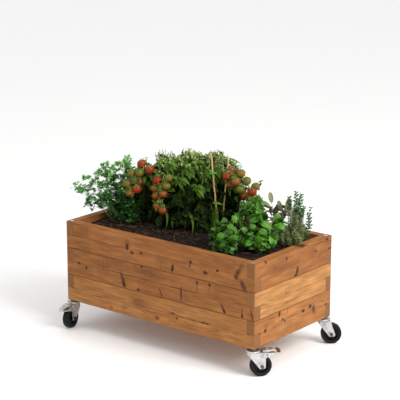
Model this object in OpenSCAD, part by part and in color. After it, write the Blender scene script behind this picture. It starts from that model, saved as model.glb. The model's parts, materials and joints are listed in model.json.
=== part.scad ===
// Mobile raised planter: a finger-jointed timber box on four swivel casters, filled and planted.
// Millimetres. +X runs along the bed, -Y is its front, +Z is up, and the ground is z = 0.
// The origin is midway between the furthest points of the footprint, so the box sits bed_y behind it.

/* [Timber box] */
// Outside length of the box
box_l = 1200; // [1160:10:1300]
// Outside width of the box
box_w = 630; // [620:10:700]
// Height of one course of boards
board_h = 140; // [130:1:150]
// Thickness of the boards
board_t = 44; // [40:1:48]
// Width of the eased outer edges
ease = 2.5; // [1:0.5:4]
// Depth from the rim to the soil
soil_drop = 30; // [20:1:60]

/* [Floor] */
// Square section of the two bearers under the floor
bearer = 36; // [30:1:45]
// Thickness of the floor slats
slat_t = 18; // [15:1:25]
// Number of floor slats
slat_n = 8; // [6:1:10]
// Gap between floor slats
slat_gap = 10; // [5:1:20]
// Thickness of the liner
liner_t = 1.5; // [1:0.5:3]

/* [Casters] */
// Height from the ground to the underside of the box
caster_h = 140; // [138:1:150]
// Wheel diameter over the tread
wheel_d = 104; // [100:1:106]
// Width of the tread
tread_w = 36; // [30:1:38]
// Distance of the axle behind the swivel axis
trail = 37; // [34:1:40]
// Diameter of the rod through each corner
rod_d = 10; // [8:1:12]
// Diameter of the axle bolt
axle_d = 10; // [8:1:10]
// Thickness of the fork's steel
fork_t = 3; // [2.5:0.5:3.5]
// Clear width inside the fork
fork_gap = 44; // [43:1:46]

/* [Hidden] */
$fn = 64;

// The box
bed_y = 23;
courses = 3;
rim_z = caster_h + courses * board_h;
soil_z = rim_z - soil_drop;
inner_l = box_l - 2 * board_t;
inner_w = box_w - 2 * board_t;
timber = "#b9814f";
timber_pale = "#cf9a63";
tall = 400;

// The floor
bearer_z = caster_h + 12;
slat_z = bearer_z + bearer;
floor_z = slat_z + slat_t;
slat_w = (inner_l - 2 - (slat_n - 1) * slat_gap) / slat_n;

// The corner rods, which hold the courses together and carry the casters
rod_x = box_l / 2 - board_t / 2;
rod_y = box_w / 2 - board_t / 2;
rod_hole_d = rod_d + 1;
cap_d = 20;
cap_t = 3;
cap_barrel_d = 14;
cap_barrel_h = 22;
nut_af = 17;
nut_h = 8;

// Heights on a caster, down from the underside of the box
collar_h = 8;
collar_r = 17;
race_h = 7.6;
race_gap = 2;
crown_t = 5;
head_r = 34;
crown_top = -(collar_h + race_h + race_gap);
crown_low = crown_top - crown_t;
ball_r = 3;
ball_ring_r = 26;
ball_n = 12;
ball_z = crown_top + race_gap / 2;
nut_top = crown_low - 0.3;
rod_low = nut_top - nut_h - 2;
wheel_r = wheel_d / 2;
axle_z = wheel_r - caster_h;
rim_r = 38;
fork_half = fork_gap / 2;
fork_out = fork_half + fork_t;
foot_z = axle_z - 11;

// The brake on the two front casters
pin_x = 61;
pin_z = -34;
pin_r = 2.5;
lever_half = 18;
lever_t = 2.5;
running = 0.05;

// The stalk of a tomato truss
stalk_r = 3;

// Corner, angle of the trail from +X, whether there is a brake, and whether its lever has a window
FL = [-1, -1, 282, true, false];
FR = [1, -1, 55, true, true];
BL = [-1, 1, 115, false, false];
BR = [1, 1, 40, false, false];
CASTERS = [FL, FR, BL, BR];

// ---- 2D helpers ----

// A corner of an outline, rounded by an arc of radius r that touches both its edges
function rounded_corner(a, b, c, r, steps = 5) =
    let(
        u = (a - b) / norm(a - b), w = (c - b) / norm(c - b),
        half = acos(u * w) / 2,
        reach = min(r / tan(half), 0.49 * min(norm(a - b), norm(c - b))),
        rr = reach * tan(half),
        mid = (u + w) / norm(u + w),
        o = b + mid * rr / sin(half),
        p = b + u * reach - o, q = b + w * reach - o,
        a0 = atan2(p[1], p[0]), turn = atan2(q[1], q[0]) - a0,
        sweep = turn > 180 ? turn - 360 : turn < -180 ? turn + 360 : turn
    )
    [for (i = [0:steps]) o + rr * [cos(a0 + sweep * i / steps), sin(a0 + sweep * i / steps)]];

function rounded(pts, r) = [
    for (i = [0:len(pts) - 1])
        each rounded_corner(pts[(i + len(pts) - 1) % len(pts)], pts[i], pts[(i + 1) % len(pts)], r)
];

function mirrored(pts) = concat(pts, [for (i = [len(pts) - 1:-1:0]) [pts[i][0], -pts[i][1]]]);

// A w by h rectangle about the origin with its corners eased
module eased(w, h) polygon([
    for (s = [[1, 1], [-1, 1], [-1, -1], [1, -1]])
        let(a = [s[0] * w / 2, s[1] * (h / 2 - ease)], b = [s[0] * (w / 2 - ease), s[1] * h / 2])
            each (s[0] * s[1] > 0 ? [a, b] : [b, a])
]);

// ---- Placing ----

module at_bed(z = 0) translate([0, bed_y, z]) children();

module at_corners(z = 0)
    for (c = CASTERS) translate([c[0] * rod_x, bed_y + c[1] * rod_y, z]) children();

// The frame of one caster: origin on the swivel axis at the underside of the box, +X along the trail
module at_caster(c)
    translate([c[0] * rod_x, bed_y + c[1] * rod_y, caster_h]) rotate([0, 0, c[2]]) children();

// An outline drawn in a caster's X and Z, given a width of 2 * half across Y
module side_plate(half) rotate([90, 0, 0]) linear_extrude(2 * half, center = true) children();

// ---- Timber box ----

function course_z(i) = caster_h + (courses - i) * board_h;

// The whole ring of one course as a block, with every outer edge eased
module course_block(i) at_bed(course_z(i) + board_h / 2) intersection() {
    linear_extrude(board_h, center = true) eased(box_l, box_w);
    rotate([90, 0, 0]) linear_extrude(box_w, center = true) eased(box_l, board_h);
    rotate([90, 0, 90]) linear_extrude(box_l, center = true) eased(box_w, board_h);
}

module corner_columns(i, upper)
    at_corners(course_z(i) + (upper ? board_h / 2 : 0))
        translate([-board_t / 2, -board_t / 2, 0]) cube([board_t, board_t, board_h / 2]);

module rod_holes() at_corners(caster_h - 1) cylinder(d = rod_hole_d, h = tall + board_h);

// Long boards end in a tongue that is their lower half
module long_board(i, side) color(timber) difference() {
    intersection() {
        course_block(i);
        at_bed(course_z(i)) translate([-box_l / 2, side * (box_w - board_t) / 2 - board_t / 2, 0])
            cube([box_l, board_t, board_h]);
    }
    corner_columns(i, true);
    rod_holes();
}

// End boards end in a tongue that is their upper half, and the top ones are sunk for the caps
module end_board(i, side) color(timber_pale) difference() {
    intersection() {
        course_block(i);
        at_bed(course_z(i)) translate([side * (box_l - board_t) / 2 - board_t / 2, -box_w / 2, 0])
            cube([board_t, box_w, board_h]);
    }
    corner_columns(i, false);
    rod_holes();
    if (i == 1) at_corners(rim_z - cap_t) cylinder(d = cap_d + 1, h = cap_t + 1);
    if (i == 1) at_corners(rim_z - cap_t - cap_barrel_h)
        cylinder(d = cap_barrel_d + 1, h = cap_barrel_h + 1);
}

// ---- Floor, liner and soil ----

module floor_bearers() color(timber_pale)
    for (s = [-1, 1]) at_bed(bearer_z)
        translate([-inner_l / 2, s * (inner_w - bearer) / 2 - bearer / 2, 0])
            cube([inner_l, bearer, bearer]);

module floor_slats() color(timber_pale)
    for (i = [0:slat_n - 1]) at_bed(slat_z)
        translate([-inner_l / 2 + 1 + i * (slat_w + slat_gap), -inner_w / 2 + 1, 0])
            cube([slat_w, inner_w - 2, slat_t]);

module floor_screw() {
    translate([0, 0, -1]) cylinder(r = 4, h = 1);
    translate([0, 0, -4]) cylinder(r1 = 2, r2 = 4, h = 3);
    translate([0, 0, -40]) cylinder(r = 2, h = 36);
}

module floor_screws() color("#9a9a9a")
    for (i = [0:slat_n - 1], s = [-1, 1]) at_bed(floor_z)
        translate([-inner_l / 2 + 1 + slat_w / 2 + i * (slat_w + slat_gap), s * (inner_w - bearer) / 2, 0])
            floor_screw();

module liner() color("#202020") at_bed(floor_z) difference() {
    translate([-inner_l / 2, -inner_w / 2, 0]) cube([inner_l, inner_w, soil_z - 2 - floor_z]);
    translate([-inner_l / 2 + liner_t, -inner_w / 2 + liner_t, liner_t])
        cube([inner_l - 2 * liner_t, inner_w - 2 * liner_t, tall]);
}

module soil() color("#33241c") at_bed(floor_z + liner_t)
    translate([-inner_l / 2 + liner_t, -inner_w / 2 + liner_t, 0])
        cube([inner_l - 2 * liner_t, inner_w - 2 * liner_t, soil_z - floor_z - liner_t]);

// ---- Corner rods ----

module corner_rods() color("#b8bcc0")
    at_corners(caster_h + rod_low) cylinder(d = rod_d, h = rim_z - caster_h - rod_low - cap_t - 4);

module rod_caps() color("#d8d4cc") at_corners(rim_z) difference() {
    union() {
        translate([0, 0, -cap_t]) cylinder(d = cap_d, h = cap_t);
        translate([0, 0, -cap_t - cap_barrel_h]) cylinder(d = cap_barrel_d, h = cap_barrel_h + 0.1);
    }
    translate([0, 0, -cap_t - cap_barrel_h - 1]) cylinder(d = rod_d, h = cap_barrel_h - 3);
    translate([0, 0, -1]) cylinder(d = 7, h = 2, $fn = 6);
}

// On each rod, a thick collar between the box and the caster, and the nut that holds the caster up
module nuts_and_collars() color("#4a4a4c") {
    at_corners(caster_h - collar_h) difference() {
        cylinder(r = collar_r, h = collar_h);
        translate([0, 0, -1]) cylinder(d = rod_d + 0.4, h = collar_h + 2);
    }
    at_corners(caster_h + nut_top - nut_h) difference() {
        cylinder(d = nut_af / cos(30), h = nut_h, $fn = 6);
        translate([0, 0, -1]) cylinder(d = rod_d, h = nut_h + 2);
    }
}

// ---- Caster heads and balls ----

module ball_groove(extra) translate([0, 0, ball_z])
    rotate_extrude() translate([ball_ring_r, 0]) circle(r = ball_r + extra);

module caster_head(c) color("#c9ccce") at_caster(c) difference() {
    rotate_extrude() polygon(concat(
        [[0, -collar_h], [0, crown_top + race_gap]],
        rounded_corner([0, crown_top + race_gap], [head_r, crown_top + race_gap], [head_r, -collar_h], 1.5),
        rounded_corner([head_r, crown_top + race_gap], [head_r, -collar_h], [0, -collar_h], 3)
    ));
    translate([0, 0, -tall / 2]) cylinder(d = rod_d + 0.4, h = tall);
    ball_groove(running);
}

module bearing_balls() color("#d0d0d0")
    at_corners(caster_h + ball_z)
        for (i = [0:ball_n - 1])
            rotate([0, 0, 360 * i / ball_n]) translate([ball_ring_r, 0, 0]) sphere(r = ball_r);

// ---- Forks ----

PLAIN_PLAN = [[-33, 12], [-20, fork_out], [70, fork_out]];
PLAIN_SIDE = [
    [-33, crown_top], [33, crown_top], [34, -26], [56, -90], [52, foot_z], [27, foot_z], [-33, -24]
];
BRAKED_PLAN = [[-33, 12], [-20, fork_out], [68, fork_out], [100, 18], [109, 8]];
BRAKED_SIDE = [
    [-33, crown_top], [33, crown_top], [62, -22.5], [86, -25], [109, -31], [109, -33],
    [62, -43], [54.6, -50], [54.6, -95], [50, foot_z], [26, foot_z], [-33, -24]
];

// The plan outline of a fork moved inwards by the steel's thickness
function inset_plan(pts) = [for (p = pts) [p[0] - sign(p[0]) * fork_t, p[1] - fork_t]];

module fork_shell(plan, side) difference() {
    intersection() {
        translate([0, 0, foot_z]) linear_extrude(-foot_z) polygon(rounded(mirrored(plan), 6));
        side_plate(fork_out) polygon(rounded(side, 2.5));
    }
    intersection() {
        translate([0, 0, foot_z - 1]) linear_extrude(-foot_z)
            polygon(rounded(mirrored(inset_plan(plan)), 4));
        side_plate(fork_half) polygon([
            [-40, crown_low], [36, crown_low], [72, -27.4], [106, -34], [106, foot_z - 2], [-40, foot_z - 2]
        ]);
    }
}

module fork(c) color("#c9ccce") at_caster(c) difference() {
    fork_shell(c[3] ? BRAKED_PLAN : PLAIN_PLAN, c[3] ? BRAKED_SIDE : PLAIN_SIDE);
    translate([0, 0, -tall / 2]) cylinder(d = rod_d + 2 * running, h = tall);
    ball_groove(0.35);
    translate([trail, 0, axle_z]) side_plate(tall / 2) circle(d = axle_d + 0.4);
    if (c[3]) {
        translate([36, -fork_half, crown_low - 8]) cube([36, fork_gap, tall]);
        translate([pin_x, 0, pin_z]) side_plate(tall / 2) circle(r = pin_r + 0.1);
    }
}

// ---- Wheels ----

module at_axle(c) at_caster(c) translate([trail, 0, axle_z]) rotate([90, 0, 0]) children();

module axle_bolt(c) color("#8f9294") at_axle(c) {
    translate([0, 0, -fork_out - 7]) cylinder(d = axle_d, h = 2 * fork_out + 7);
    translate([0, 0, fork_out]) cylinder(d = 18, h = 6, $fn = 6);
    translate([0, 0, -fork_out - 6]) difference() {
        cylinder(d = 18, h = 6, $fn = 6);
        translate([0, 0, -1]) cylinder(d = axle_d, h = 8);
    }
}

module wheel_hub(c) color("#252525") at_axle(c) rotate_extrude() polygon(mirrored([
    [axle_d / 2 + running, fork_half - 0.5], [12, fork_half - 0.5], [13.5, 5],
    [32, 4], [34, 14.5], [rim_r, 14.5]
]));

module tyre(c) color("#1c1c1c") at_axle(c) rotate_extrude() polygon(mirrored(concat(
    [[rim_r, 15], [43, tread_w / 2 - 1]],
    rounded_corner([43, tread_w / 2 - 1], [wheel_r - 0.8, tread_w / 2], [wheel_r, tread_w / 6], 7),
    [[wheel_r, tread_w / 6]]
)));

// ---- Brakes ----

module brake_pin(c) color("#5c5e60") at_caster(c) translate([pin_x, 0, pin_z]) {
    side_plate(fork_out) circle(r = pin_r);
    for (s = [-1, 1]) translate([0, s * (fork_out + 0.75), 0]) side_plate(0.75) circle(r = 4);
}

LEVER_PLAN = [[40, 16], [44, lever_half], [78, lever_half], [113, 11]];
LEVER_TOP = [[40, -11], [60, -8.5], [95, -9.5], [113, -17]];
LEVER_HOLLOW_PLAN = [
    [37, 16 - lever_t], [44, lever_half - lever_t], [78, lever_half - lever_t], [113 - lever_t, 11 - lever_t]
];
LEVER_HOLLOW_TOP = [
    [36, -11 - lever_t], [60, -8.5 - lever_t], [95, -9.5 - lever_t], [113, -17 - lever_t]
];

// A pressed channel: a flat top with a window, and two flanges that reach down to the pin
module brake_lever(c) color("#c9ccce") at_caster(c) difference() {
    intersection() {
        translate([0, 0, pin_z - 10]) linear_extrude(-pin_z + 10) polygon(mirrored(LEVER_PLAN));
        side_plate(lever_half) {
            polygon(concat(LEVER_TOP, [
                [113, -20.5], [92, -16], [70, -20], [65, pin_z], [57, pin_z], [50, -22], [40, -16]
            ]));
            translate([pin_x, pin_z]) circle(r = 5);
        }
    }
    intersection() {
        translate([0, 0, pin_z - 20]) linear_extrude(tall) polygon(mirrored(LEVER_HOLLOW_PLAN));
        side_plate(lever_half) polygon(concat(LEVER_HOLLOW_TOP, [[113, -60], [36, -60]]));
    }
    if (c[4]) translate([60, -8, -tall / 2]) cube([20, 16, tall]);
    translate([pin_x, 0, pin_z]) side_plate(tall / 2) circle(r = pin_r + running);
}

// The cam between the flanges, whose nose comes down on the tyre
module brake_shoe(c) color("#6c6e70") at_caster(c)
    translate([pin_x, 0, pin_z]) side_plate(lever_half - lever_t) difference() {
        union() {
            circle(r = 5);
            translate([6.2, -6.6]) circle(r = 2);
            polygon([[-3.8, -3.2], [4.7, -7.9], [7.9, -5.6], [4.6, 2]]);
        }
        circle(r = pin_r + running);
    }

module brake_tip(c) color("#6b3a30") at_caster(c) intersection() {
    side_plate(13) polygon(rounded([
        [113, -14], [122, -12.5], [131, -17], [134, -24], [129, -31], [113, -27]
    ], 3));
    translate([0, 0, -50]) linear_extrude(50)
        polygon(rounded(mirrored([[113, 12.5], [129, 13], [134.5, 7]]), 4));
}

// ---- Plants ----

// A straight round stem from a to b
module stem(a, b, r) let(d = b - a)
    translate(a) rotate([0, acos(d[2] / norm(d)), atan2(d[1], d[0])]) cylinder(h = norm(d), r = r);

// A rounded lump [x, y, height, radius]
module lump(c) hull()
    for (dz = [-0.1, 0.1]) translate([c[0], c[1], c[2] + dz * c[3]]) sphere(r = c[3] * 0.96, $fn = 8);

// A plant rooted at [x, y]: a short crown at the soil, and a leafy lump on each stem
module plant(root, lumps, crown_r, stem_r) at_bed(soil_z) {
    translate([root[0], root[1], 0]) cylinder(r = crown_r, h = 36, $fn = 12);
    for (c = lumps) {
        hull() {
            translate([root[0], root[1], 30]) sphere(r = stem_r, $fn = 6);
            translate([c[0], c[1], c[2]]) sphere(r = stem_r, $fn = 6);
        }
        lump(c);
    }
}

module parsley() color("#3f8a5a") plant([-455, -60], [
    [-600, -150, 170, 55], [-530, -110, 240, 55], [-510, -160, 120, 58], [-465, -80, 215, 58],
    [-425, -30, 290, 45], [-430, -20, 130, 58], [-540, 0, 150, 55], [-440, 50, 210, 50],
    [-410, 20, 66, 46], [-500, -60, 90, 55], [-630, -210, 165, 35]
], 22, 8);

module tomato_plant() color("#2f5a26") plant([-80, 150], [
    [-230, 60, 290, 75], [-130, 110, 330, 70], [-20, 170, 320, 75], [50, 222, 285, 46],
    [-240, 110, 170, 85], [-110, 80, 170, 90], [-20, 200, 190, 70], [60, 220, 180, 50],
    [-160, 180, 250, 80], [-225, 35, 70, 68], [-120, 50, 80, 72], [-20, 55, 72, 52],
    [-25, 190, 85, 65], [75, 210, 95, 44], [100, 62, 120, 46], [-300, 35, 150, 46],
    [-320, 20, 210, 54], [-45, 135, 245, 62], [-150, 165, 120, 80], [-300, -38, 328, 14],
    [-212, -18, 244, 14], [88, 128, 303, 12]
], 26, 9);

// A truss of fruit, joined from each one to the next by its stalk
module truss(fruit) color("#c0452c") at_bed(soil_z) {
    for (f = fruit) lump(f);
    for (i = [1:len(fruit) - 1]) hull()
        for (f = [fruit[i - 1], fruit[i]]) translate([f[0], f[1], f[2]]) sphere(r = stalk_r, $fn = 6);
}

module tomato_truss_left() truss([
    [-308, -62, 325, 21], [-269, -45, 298, 22], [-311, -75, 282, 21], [-351, -90, 276, 20],
    [-371, -105, 221, 20], [-314, -62, 234, 18], [-319, -88, 196, 22], [-347, -112, 175, 17],
    [-340, -84, 244, 15]
]);

module tomato_truss_middle() truss([
    [-223, -40, 247, 21], [-238, -46, 206, 18], [-166, -36, 226, 20], [-227, -48, 168, 19],
    [-185, -42, 184, 20], [-155, -30, 268, 17], [-218, -50, 113, 18], [-182, -46, 98, 20],
    [-200, -42, 205, 15], [-205, -46, 140, 15]
]);

module tomato_truss_right() truss([
    [101, 112, 290, 21], [108, 140, 316, 19], [152, 120, 270, 22], [160, 150, 306, 21],
    [185, 165, 268, 21], [110, 128, 245, 17], [169, 135, 230, 21], [184, 150, 196, 18],
    [223, 160, 219, 22], [222, 190, 241, 20], [130, 128, 285, 15]
]);

module bamboo_stakes() color("#d2b078") at_bed(soil_z) {
    stem([45, 117, 0], [15, 94, 400], 4.5);
    stem([40, 150, 0], [66, 171, 370], 4.5);
}

module basil_left() color("#4a9a2c") plant([295, -145], [
    [262, -170, 58, 40], [325, -125, 70, 40], [285, -125, 112, 44], [330, -175, 50, 40],
    [250, -120, 80, 34]
], 14, 6);

module basil_right() color("#4a9a2c") plant([410, -20], [
    [378, -45, 75, 42], [450, 5, 85, 44], [400, -10, 132, 44], [445, -55, 55, 40],
    [482, 40, 120, 36], [395, -70, 48, 40]
], 14, 6);

module lovage() color("#3c8427") plant([250, 150], [
    [205, 135, 80, 40], [258, 172, 105, 34], [243, 150, 160, 35], [228, 190, 90, 38]
], 12, 6);

module sage() color("#7d8860") plant([360, 175], [
    [330, 155, 142, 32], [385, 190, 135, 34], [345, 175, 195, 32], [352, 215, 110, 34]
], 12, 5);

module thyme() color("#6f8a68") plant([485, 135], [
    [462, 125, 80, 32], [512, 150, 95, 34], [490, 160, 160, 28], [500, 150, 225, 20],
    [552, 190, 165, 18], [520, 110, 50, 34], [475, 95, 45, 30]
], 12, 5);

long_board(1, -1);  // front_board_1
long_board(2, -1);  // front_board_2
long_board(3, -1);  // front_board_3
long_board(1, 1);  // back_board_1
long_board(2, 1);  // back_board_2
long_board(3, 1);  // back_board_3
end_board(1, -1);  // left_board_1
end_board(2, -1);  // left_board_2
end_board(3, -1);  // left_board_3
end_board(1, 1);  // right_board_1
end_board(2, 1);  // right_board_2
end_board(3, 1);  // right_board_3
floor_bearers();
floor_slats();
floor_screws();
liner();
soil();
corner_rods();
rod_caps();
nuts_and_collars();
bearing_balls();
caster_head(FL);  // caster_head_front_left
caster_head(FR);  // caster_head_front_right
caster_head(BL);  // caster_head_back_left
caster_head(BR);  // caster_head_back_right
fork(FL);  // fork_front_left
fork(FR);  // fork_front_right
fork(BL);  // fork_back_left
fork(BR);  // fork_back_right
axle_bolt(FL);  // axle_bolt_front_left
axle_bolt(FR);  // axle_bolt_front_right
axle_bolt(BL);  // axle_bolt_back_left
axle_bolt(BR);  // axle_bolt_back_right
wheel_hub(FL);  // wheel_hub_front_left
wheel_hub(FR);  // wheel_hub_front_right
wheel_hub(BL);  // wheel_hub_back_left
wheel_hub(BR);  // wheel_hub_back_right
tyre(FL);  // tyre_front_left
tyre(FR);  // tyre_front_right
tyre(BL);  // tyre_back_left
tyre(BR);  // tyre_back_right
brake_pin(FL);  // brake_pin_front_left
brake_pin(FR);  // brake_pin_front_right
brake_lever(FL);  // brake_lever_front_left
brake_lever(FR);  // brake_lever_front_right
brake_shoe(FL);  // brake_shoe_front_left
brake_shoe(FR);  // brake_shoe_front_right
brake_tip(FL);  // brake_tip_front_left
brake_tip(FR);  // brake_tip_front_right
parsley();
tomato_plant();
tomato_truss_left();
tomato_truss_middle();
tomato_truss_right();
bamboo_stakes();
basil_left();
basil_right();
lovage();
sage();
thyme();
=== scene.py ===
import json
import math
import random

import bpy
from mathutils import Matrix, Vector


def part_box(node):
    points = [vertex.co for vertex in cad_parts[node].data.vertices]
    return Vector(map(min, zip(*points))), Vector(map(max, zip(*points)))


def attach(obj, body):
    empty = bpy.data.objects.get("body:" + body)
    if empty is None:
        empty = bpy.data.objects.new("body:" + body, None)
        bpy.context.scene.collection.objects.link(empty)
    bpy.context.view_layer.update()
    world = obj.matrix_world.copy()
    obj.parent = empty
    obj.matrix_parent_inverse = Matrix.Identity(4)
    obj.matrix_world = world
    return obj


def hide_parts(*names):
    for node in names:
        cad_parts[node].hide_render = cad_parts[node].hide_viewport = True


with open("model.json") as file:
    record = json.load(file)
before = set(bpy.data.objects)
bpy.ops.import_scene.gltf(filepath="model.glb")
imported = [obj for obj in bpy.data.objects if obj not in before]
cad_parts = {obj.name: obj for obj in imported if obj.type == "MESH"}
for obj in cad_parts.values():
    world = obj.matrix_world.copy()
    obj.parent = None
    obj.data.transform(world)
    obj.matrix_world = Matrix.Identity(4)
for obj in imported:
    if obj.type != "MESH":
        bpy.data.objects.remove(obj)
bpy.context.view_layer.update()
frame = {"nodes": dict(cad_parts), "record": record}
MM = 0.001
UP = Vector((0, 0, 1))
BODY = "planter"

# The middle of the bed and its soil, read from the frame
rim_low, rim_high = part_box("liner")
MID = Vector(((rim_low.x + rim_high.x) / 2, (rim_low.y + rim_high.y) / 2, 0))
soil_low, soil_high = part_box("soil")
SOIL_Z = soil_high.z


def bed(x, y, h):
    """A point given in millimetres from the middle of the bed, h above the soil."""
    return Vector((MID.x + x * MM, MID.y + y * MM, SOIL_Z + h * MM))


# ---------------------------------------------------------------- stage

CAMERA_AT = (4.6415, -5.7129, 2.6575)
CAMERA_AHEAD = (-0.6065, 0.7528, -0.2560)
CAMERA_UP = (-0.1606, 0.1993, 0.9667)
CAMERA_LENS = 138.03
KEY_AT = (4.6, -0.2, 4.0)
SKY = 0.93
FLOOR_R = 60


def aim(obj, at, forward, up):
    """Stand obj at a point, looking forward along its own -Z."""
    forward = Vector(forward).normalized()
    right = forward.cross(Vector(up)).normalized()
    obj.matrix_world = Matrix.Translation(at) @ Matrix((right, right.cross(forward), -forward)).transposed().to_4x4()


def set_camera():
    data = bpy.data.cameras.new("camera")
    data.lens = CAMERA_LENS
    data.clip_end = 200
    camera = bpy.data.objects.new("camera", data)
    bpy.context.scene.collection.objects.link(camera)
    aim(camera, CAMERA_AT, CAMERA_AHEAD, CAMERA_UP)
    bpy.context.scene.camera = camera


def set_key_light():
    data = bpy.data.lights.new("key", "AREA")
    data.shape = "DISK"
    data.size = 3.2
    data.energy = 260
    data.color = (1.0, 0.98, 0.95)
    light = bpy.data.objects.new("key", data)
    bpy.context.scene.collection.objects.link(light)
    aim(light, KEY_AT, MID + Vector((0, 0, 0.5)) - Vector(KEY_AT), (0, 0.1, 1))


def set_sky():
    world = bpy.data.worlds.new("studio")
    world.use_nodes = True
    background = world.node_tree.nodes["Background"]
    background.inputs["Color"].default_value = (1.0, 1.0, 1.0, 1.0)
    background.inputs["Strength"].default_value = SKY
    bpy.context.scene.world = world


# ---------------------------------------------------------------- materials

class Look:
    """A node material, written as short calls that return output sockets."""

    def __init__(self, name, **sockets):
        self.material = bpy.data.materials.new(name)
        self.material.use_nodes = True
        self.tree = self.material.node_tree
        self.tree.nodes.clear()
        self.bsdf = self.node("BsdfPrincipled", sockets)
        out = self.tree.nodes.new("ShaderNodeOutputMaterial")
        self.tree.links.new(self.bsdf.outputs[0], out.inputs[0])
        coords = self.tree.nodes.new("ShaderNodeTexCoord")
        self.place = coords.outputs["Object"]
        self.normal = coords.outputs["Normal"]

    def node(self, kind, inputs, **settings):
        n = self.tree.nodes.new("ShaderNode" + kind)
        for key, value in settings.items():
            setattr(n, key, value)
        for key, value in inputs.items():
            self.feed(n.inputs[key.replace("_", " ") if isinstance(key, str) else key], value)
        return n

    def feed(self, socket, value):
        if isinstance(value, bpy.types.NodeSocket):
            self.tree.links.new(value, socket)
        elif value is not None:
            if hasattr(socket.default_value, "__len__") and len(socket.default_value) == 4 and len(value) == 3:
                value = (*value, 1.0)
            socket.default_value = value

    def math(self, operation, a, b=None, c=None):
        inputs = {i: v for i, v in enumerate((a, b, c)) if v is not None}
        return self.node("Math", inputs, operation=operation).outputs[0]

    def plus(self, a, b):
        return self.math("ADD", a, b)

    def minus(self, a, b):
        return self.math("SUBTRACT", a, b)

    def times(self, a, b):
        return self.math("MULTIPLY", a, b)

    def most(self, a, b):
        return self.math("MAXIMUM", a, b)

    def size(self, a):
        return self.math("ABSOLUTE", a)

    def vector(self, operation, a, b=None):
        inputs = {i: v for i, v in enumerate((a, b)) if v is not None}
        n = self.node("VectorMath", inputs, operation=operation)
        return n.outputs["Value" if operation in ("LENGTH", "DOT_PRODUCT", "DISTANCE") else "Vector"]

    def split(self, vector):
        return self.node("SeparateXYZ", {0: vector}).outputs

    def join(self, x, y, z):
        return self.node("CombineXYZ", {0: x, 1: y, 2: z}).outputs[0]

    def mapped(self, vector, location=(0, 0, 0), rotation=(0, 0, 0), scale=(1, 1, 1), kind="POINT"):
        inputs = {"Vector": vector, "Location": location, "Rotation": rotation, "Scale": scale}
        return self.node("Mapping", inputs, vector_type=kind).outputs[0]

    def noise(self, vector, scale, detail=2.0, rough=0.5, distortion=0.0):
        inputs = {"Vector": vector, "Scale": scale, "Detail": detail, "Roughness": rough, "Distortion": distortion}
        return self.node("TexNoise", inputs).outputs[0]

    def stretched(self, vector, scale, detail=2.0, rough=0.5, distortion=0.0, location=(0, 0, 0)):
        """Noise with its own scale along each axis."""
        return self.noise(self.mapped(vector, location, scale=scale), 1.0, detail, rough, distortion)

    def cells(self, vector, scale):
        return self.node("TexVoronoi", {"Vector": vector, "Scale": scale})

    def ranged(self, value, low, high, a=0.0, b=1.0, smooth=True):
        inputs = {0: value, 1: low, 2: high, 3: a, 4: b}
        return self.node("MapRange", inputs, interpolation_type="SMOOTHSTEP" if smooth else "LINEAR").outputs[0]

    def mix(self, factor, a, b):
        return self.node("Mix", {0: factor, 6: a, 7: b}, data_type="RGBA").outputs[2]

    def shade(self, colour, amount):
        """colour times the number amount."""
        return self.vector("MULTIPLY", colour, self.join(amount, amount, amount))

    def attribute(self, name):
        return self.node("Attribute", {}, attribute_name=name).outputs["Vector"]

    def finish(self, colour, rough, height=None, bump=0.3, depth=0.001):
        """Connect the results and return the material. depth is the bump's height in metres."""
        self.feed(self.bsdf.inputs["Base Color"], colour)
        self.feed(self.bsdf.inputs["Roughness"], rough)
        if height is not None:
            n = self.node("Bump", {"Strength": bump, "Distance": depth, "Height": height})
            self.feed(self.bsdf.inputs["Normal"], n.outputs[0])
        return self.material


def srgb(r, g, b):
    """A colour from 0-255 display values."""
    return tuple(((c / 255 + 0.055) / 1.055) ** 2.4 if c > 10 else c / 255 / 12.92 for c in (r, g, b))


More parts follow.
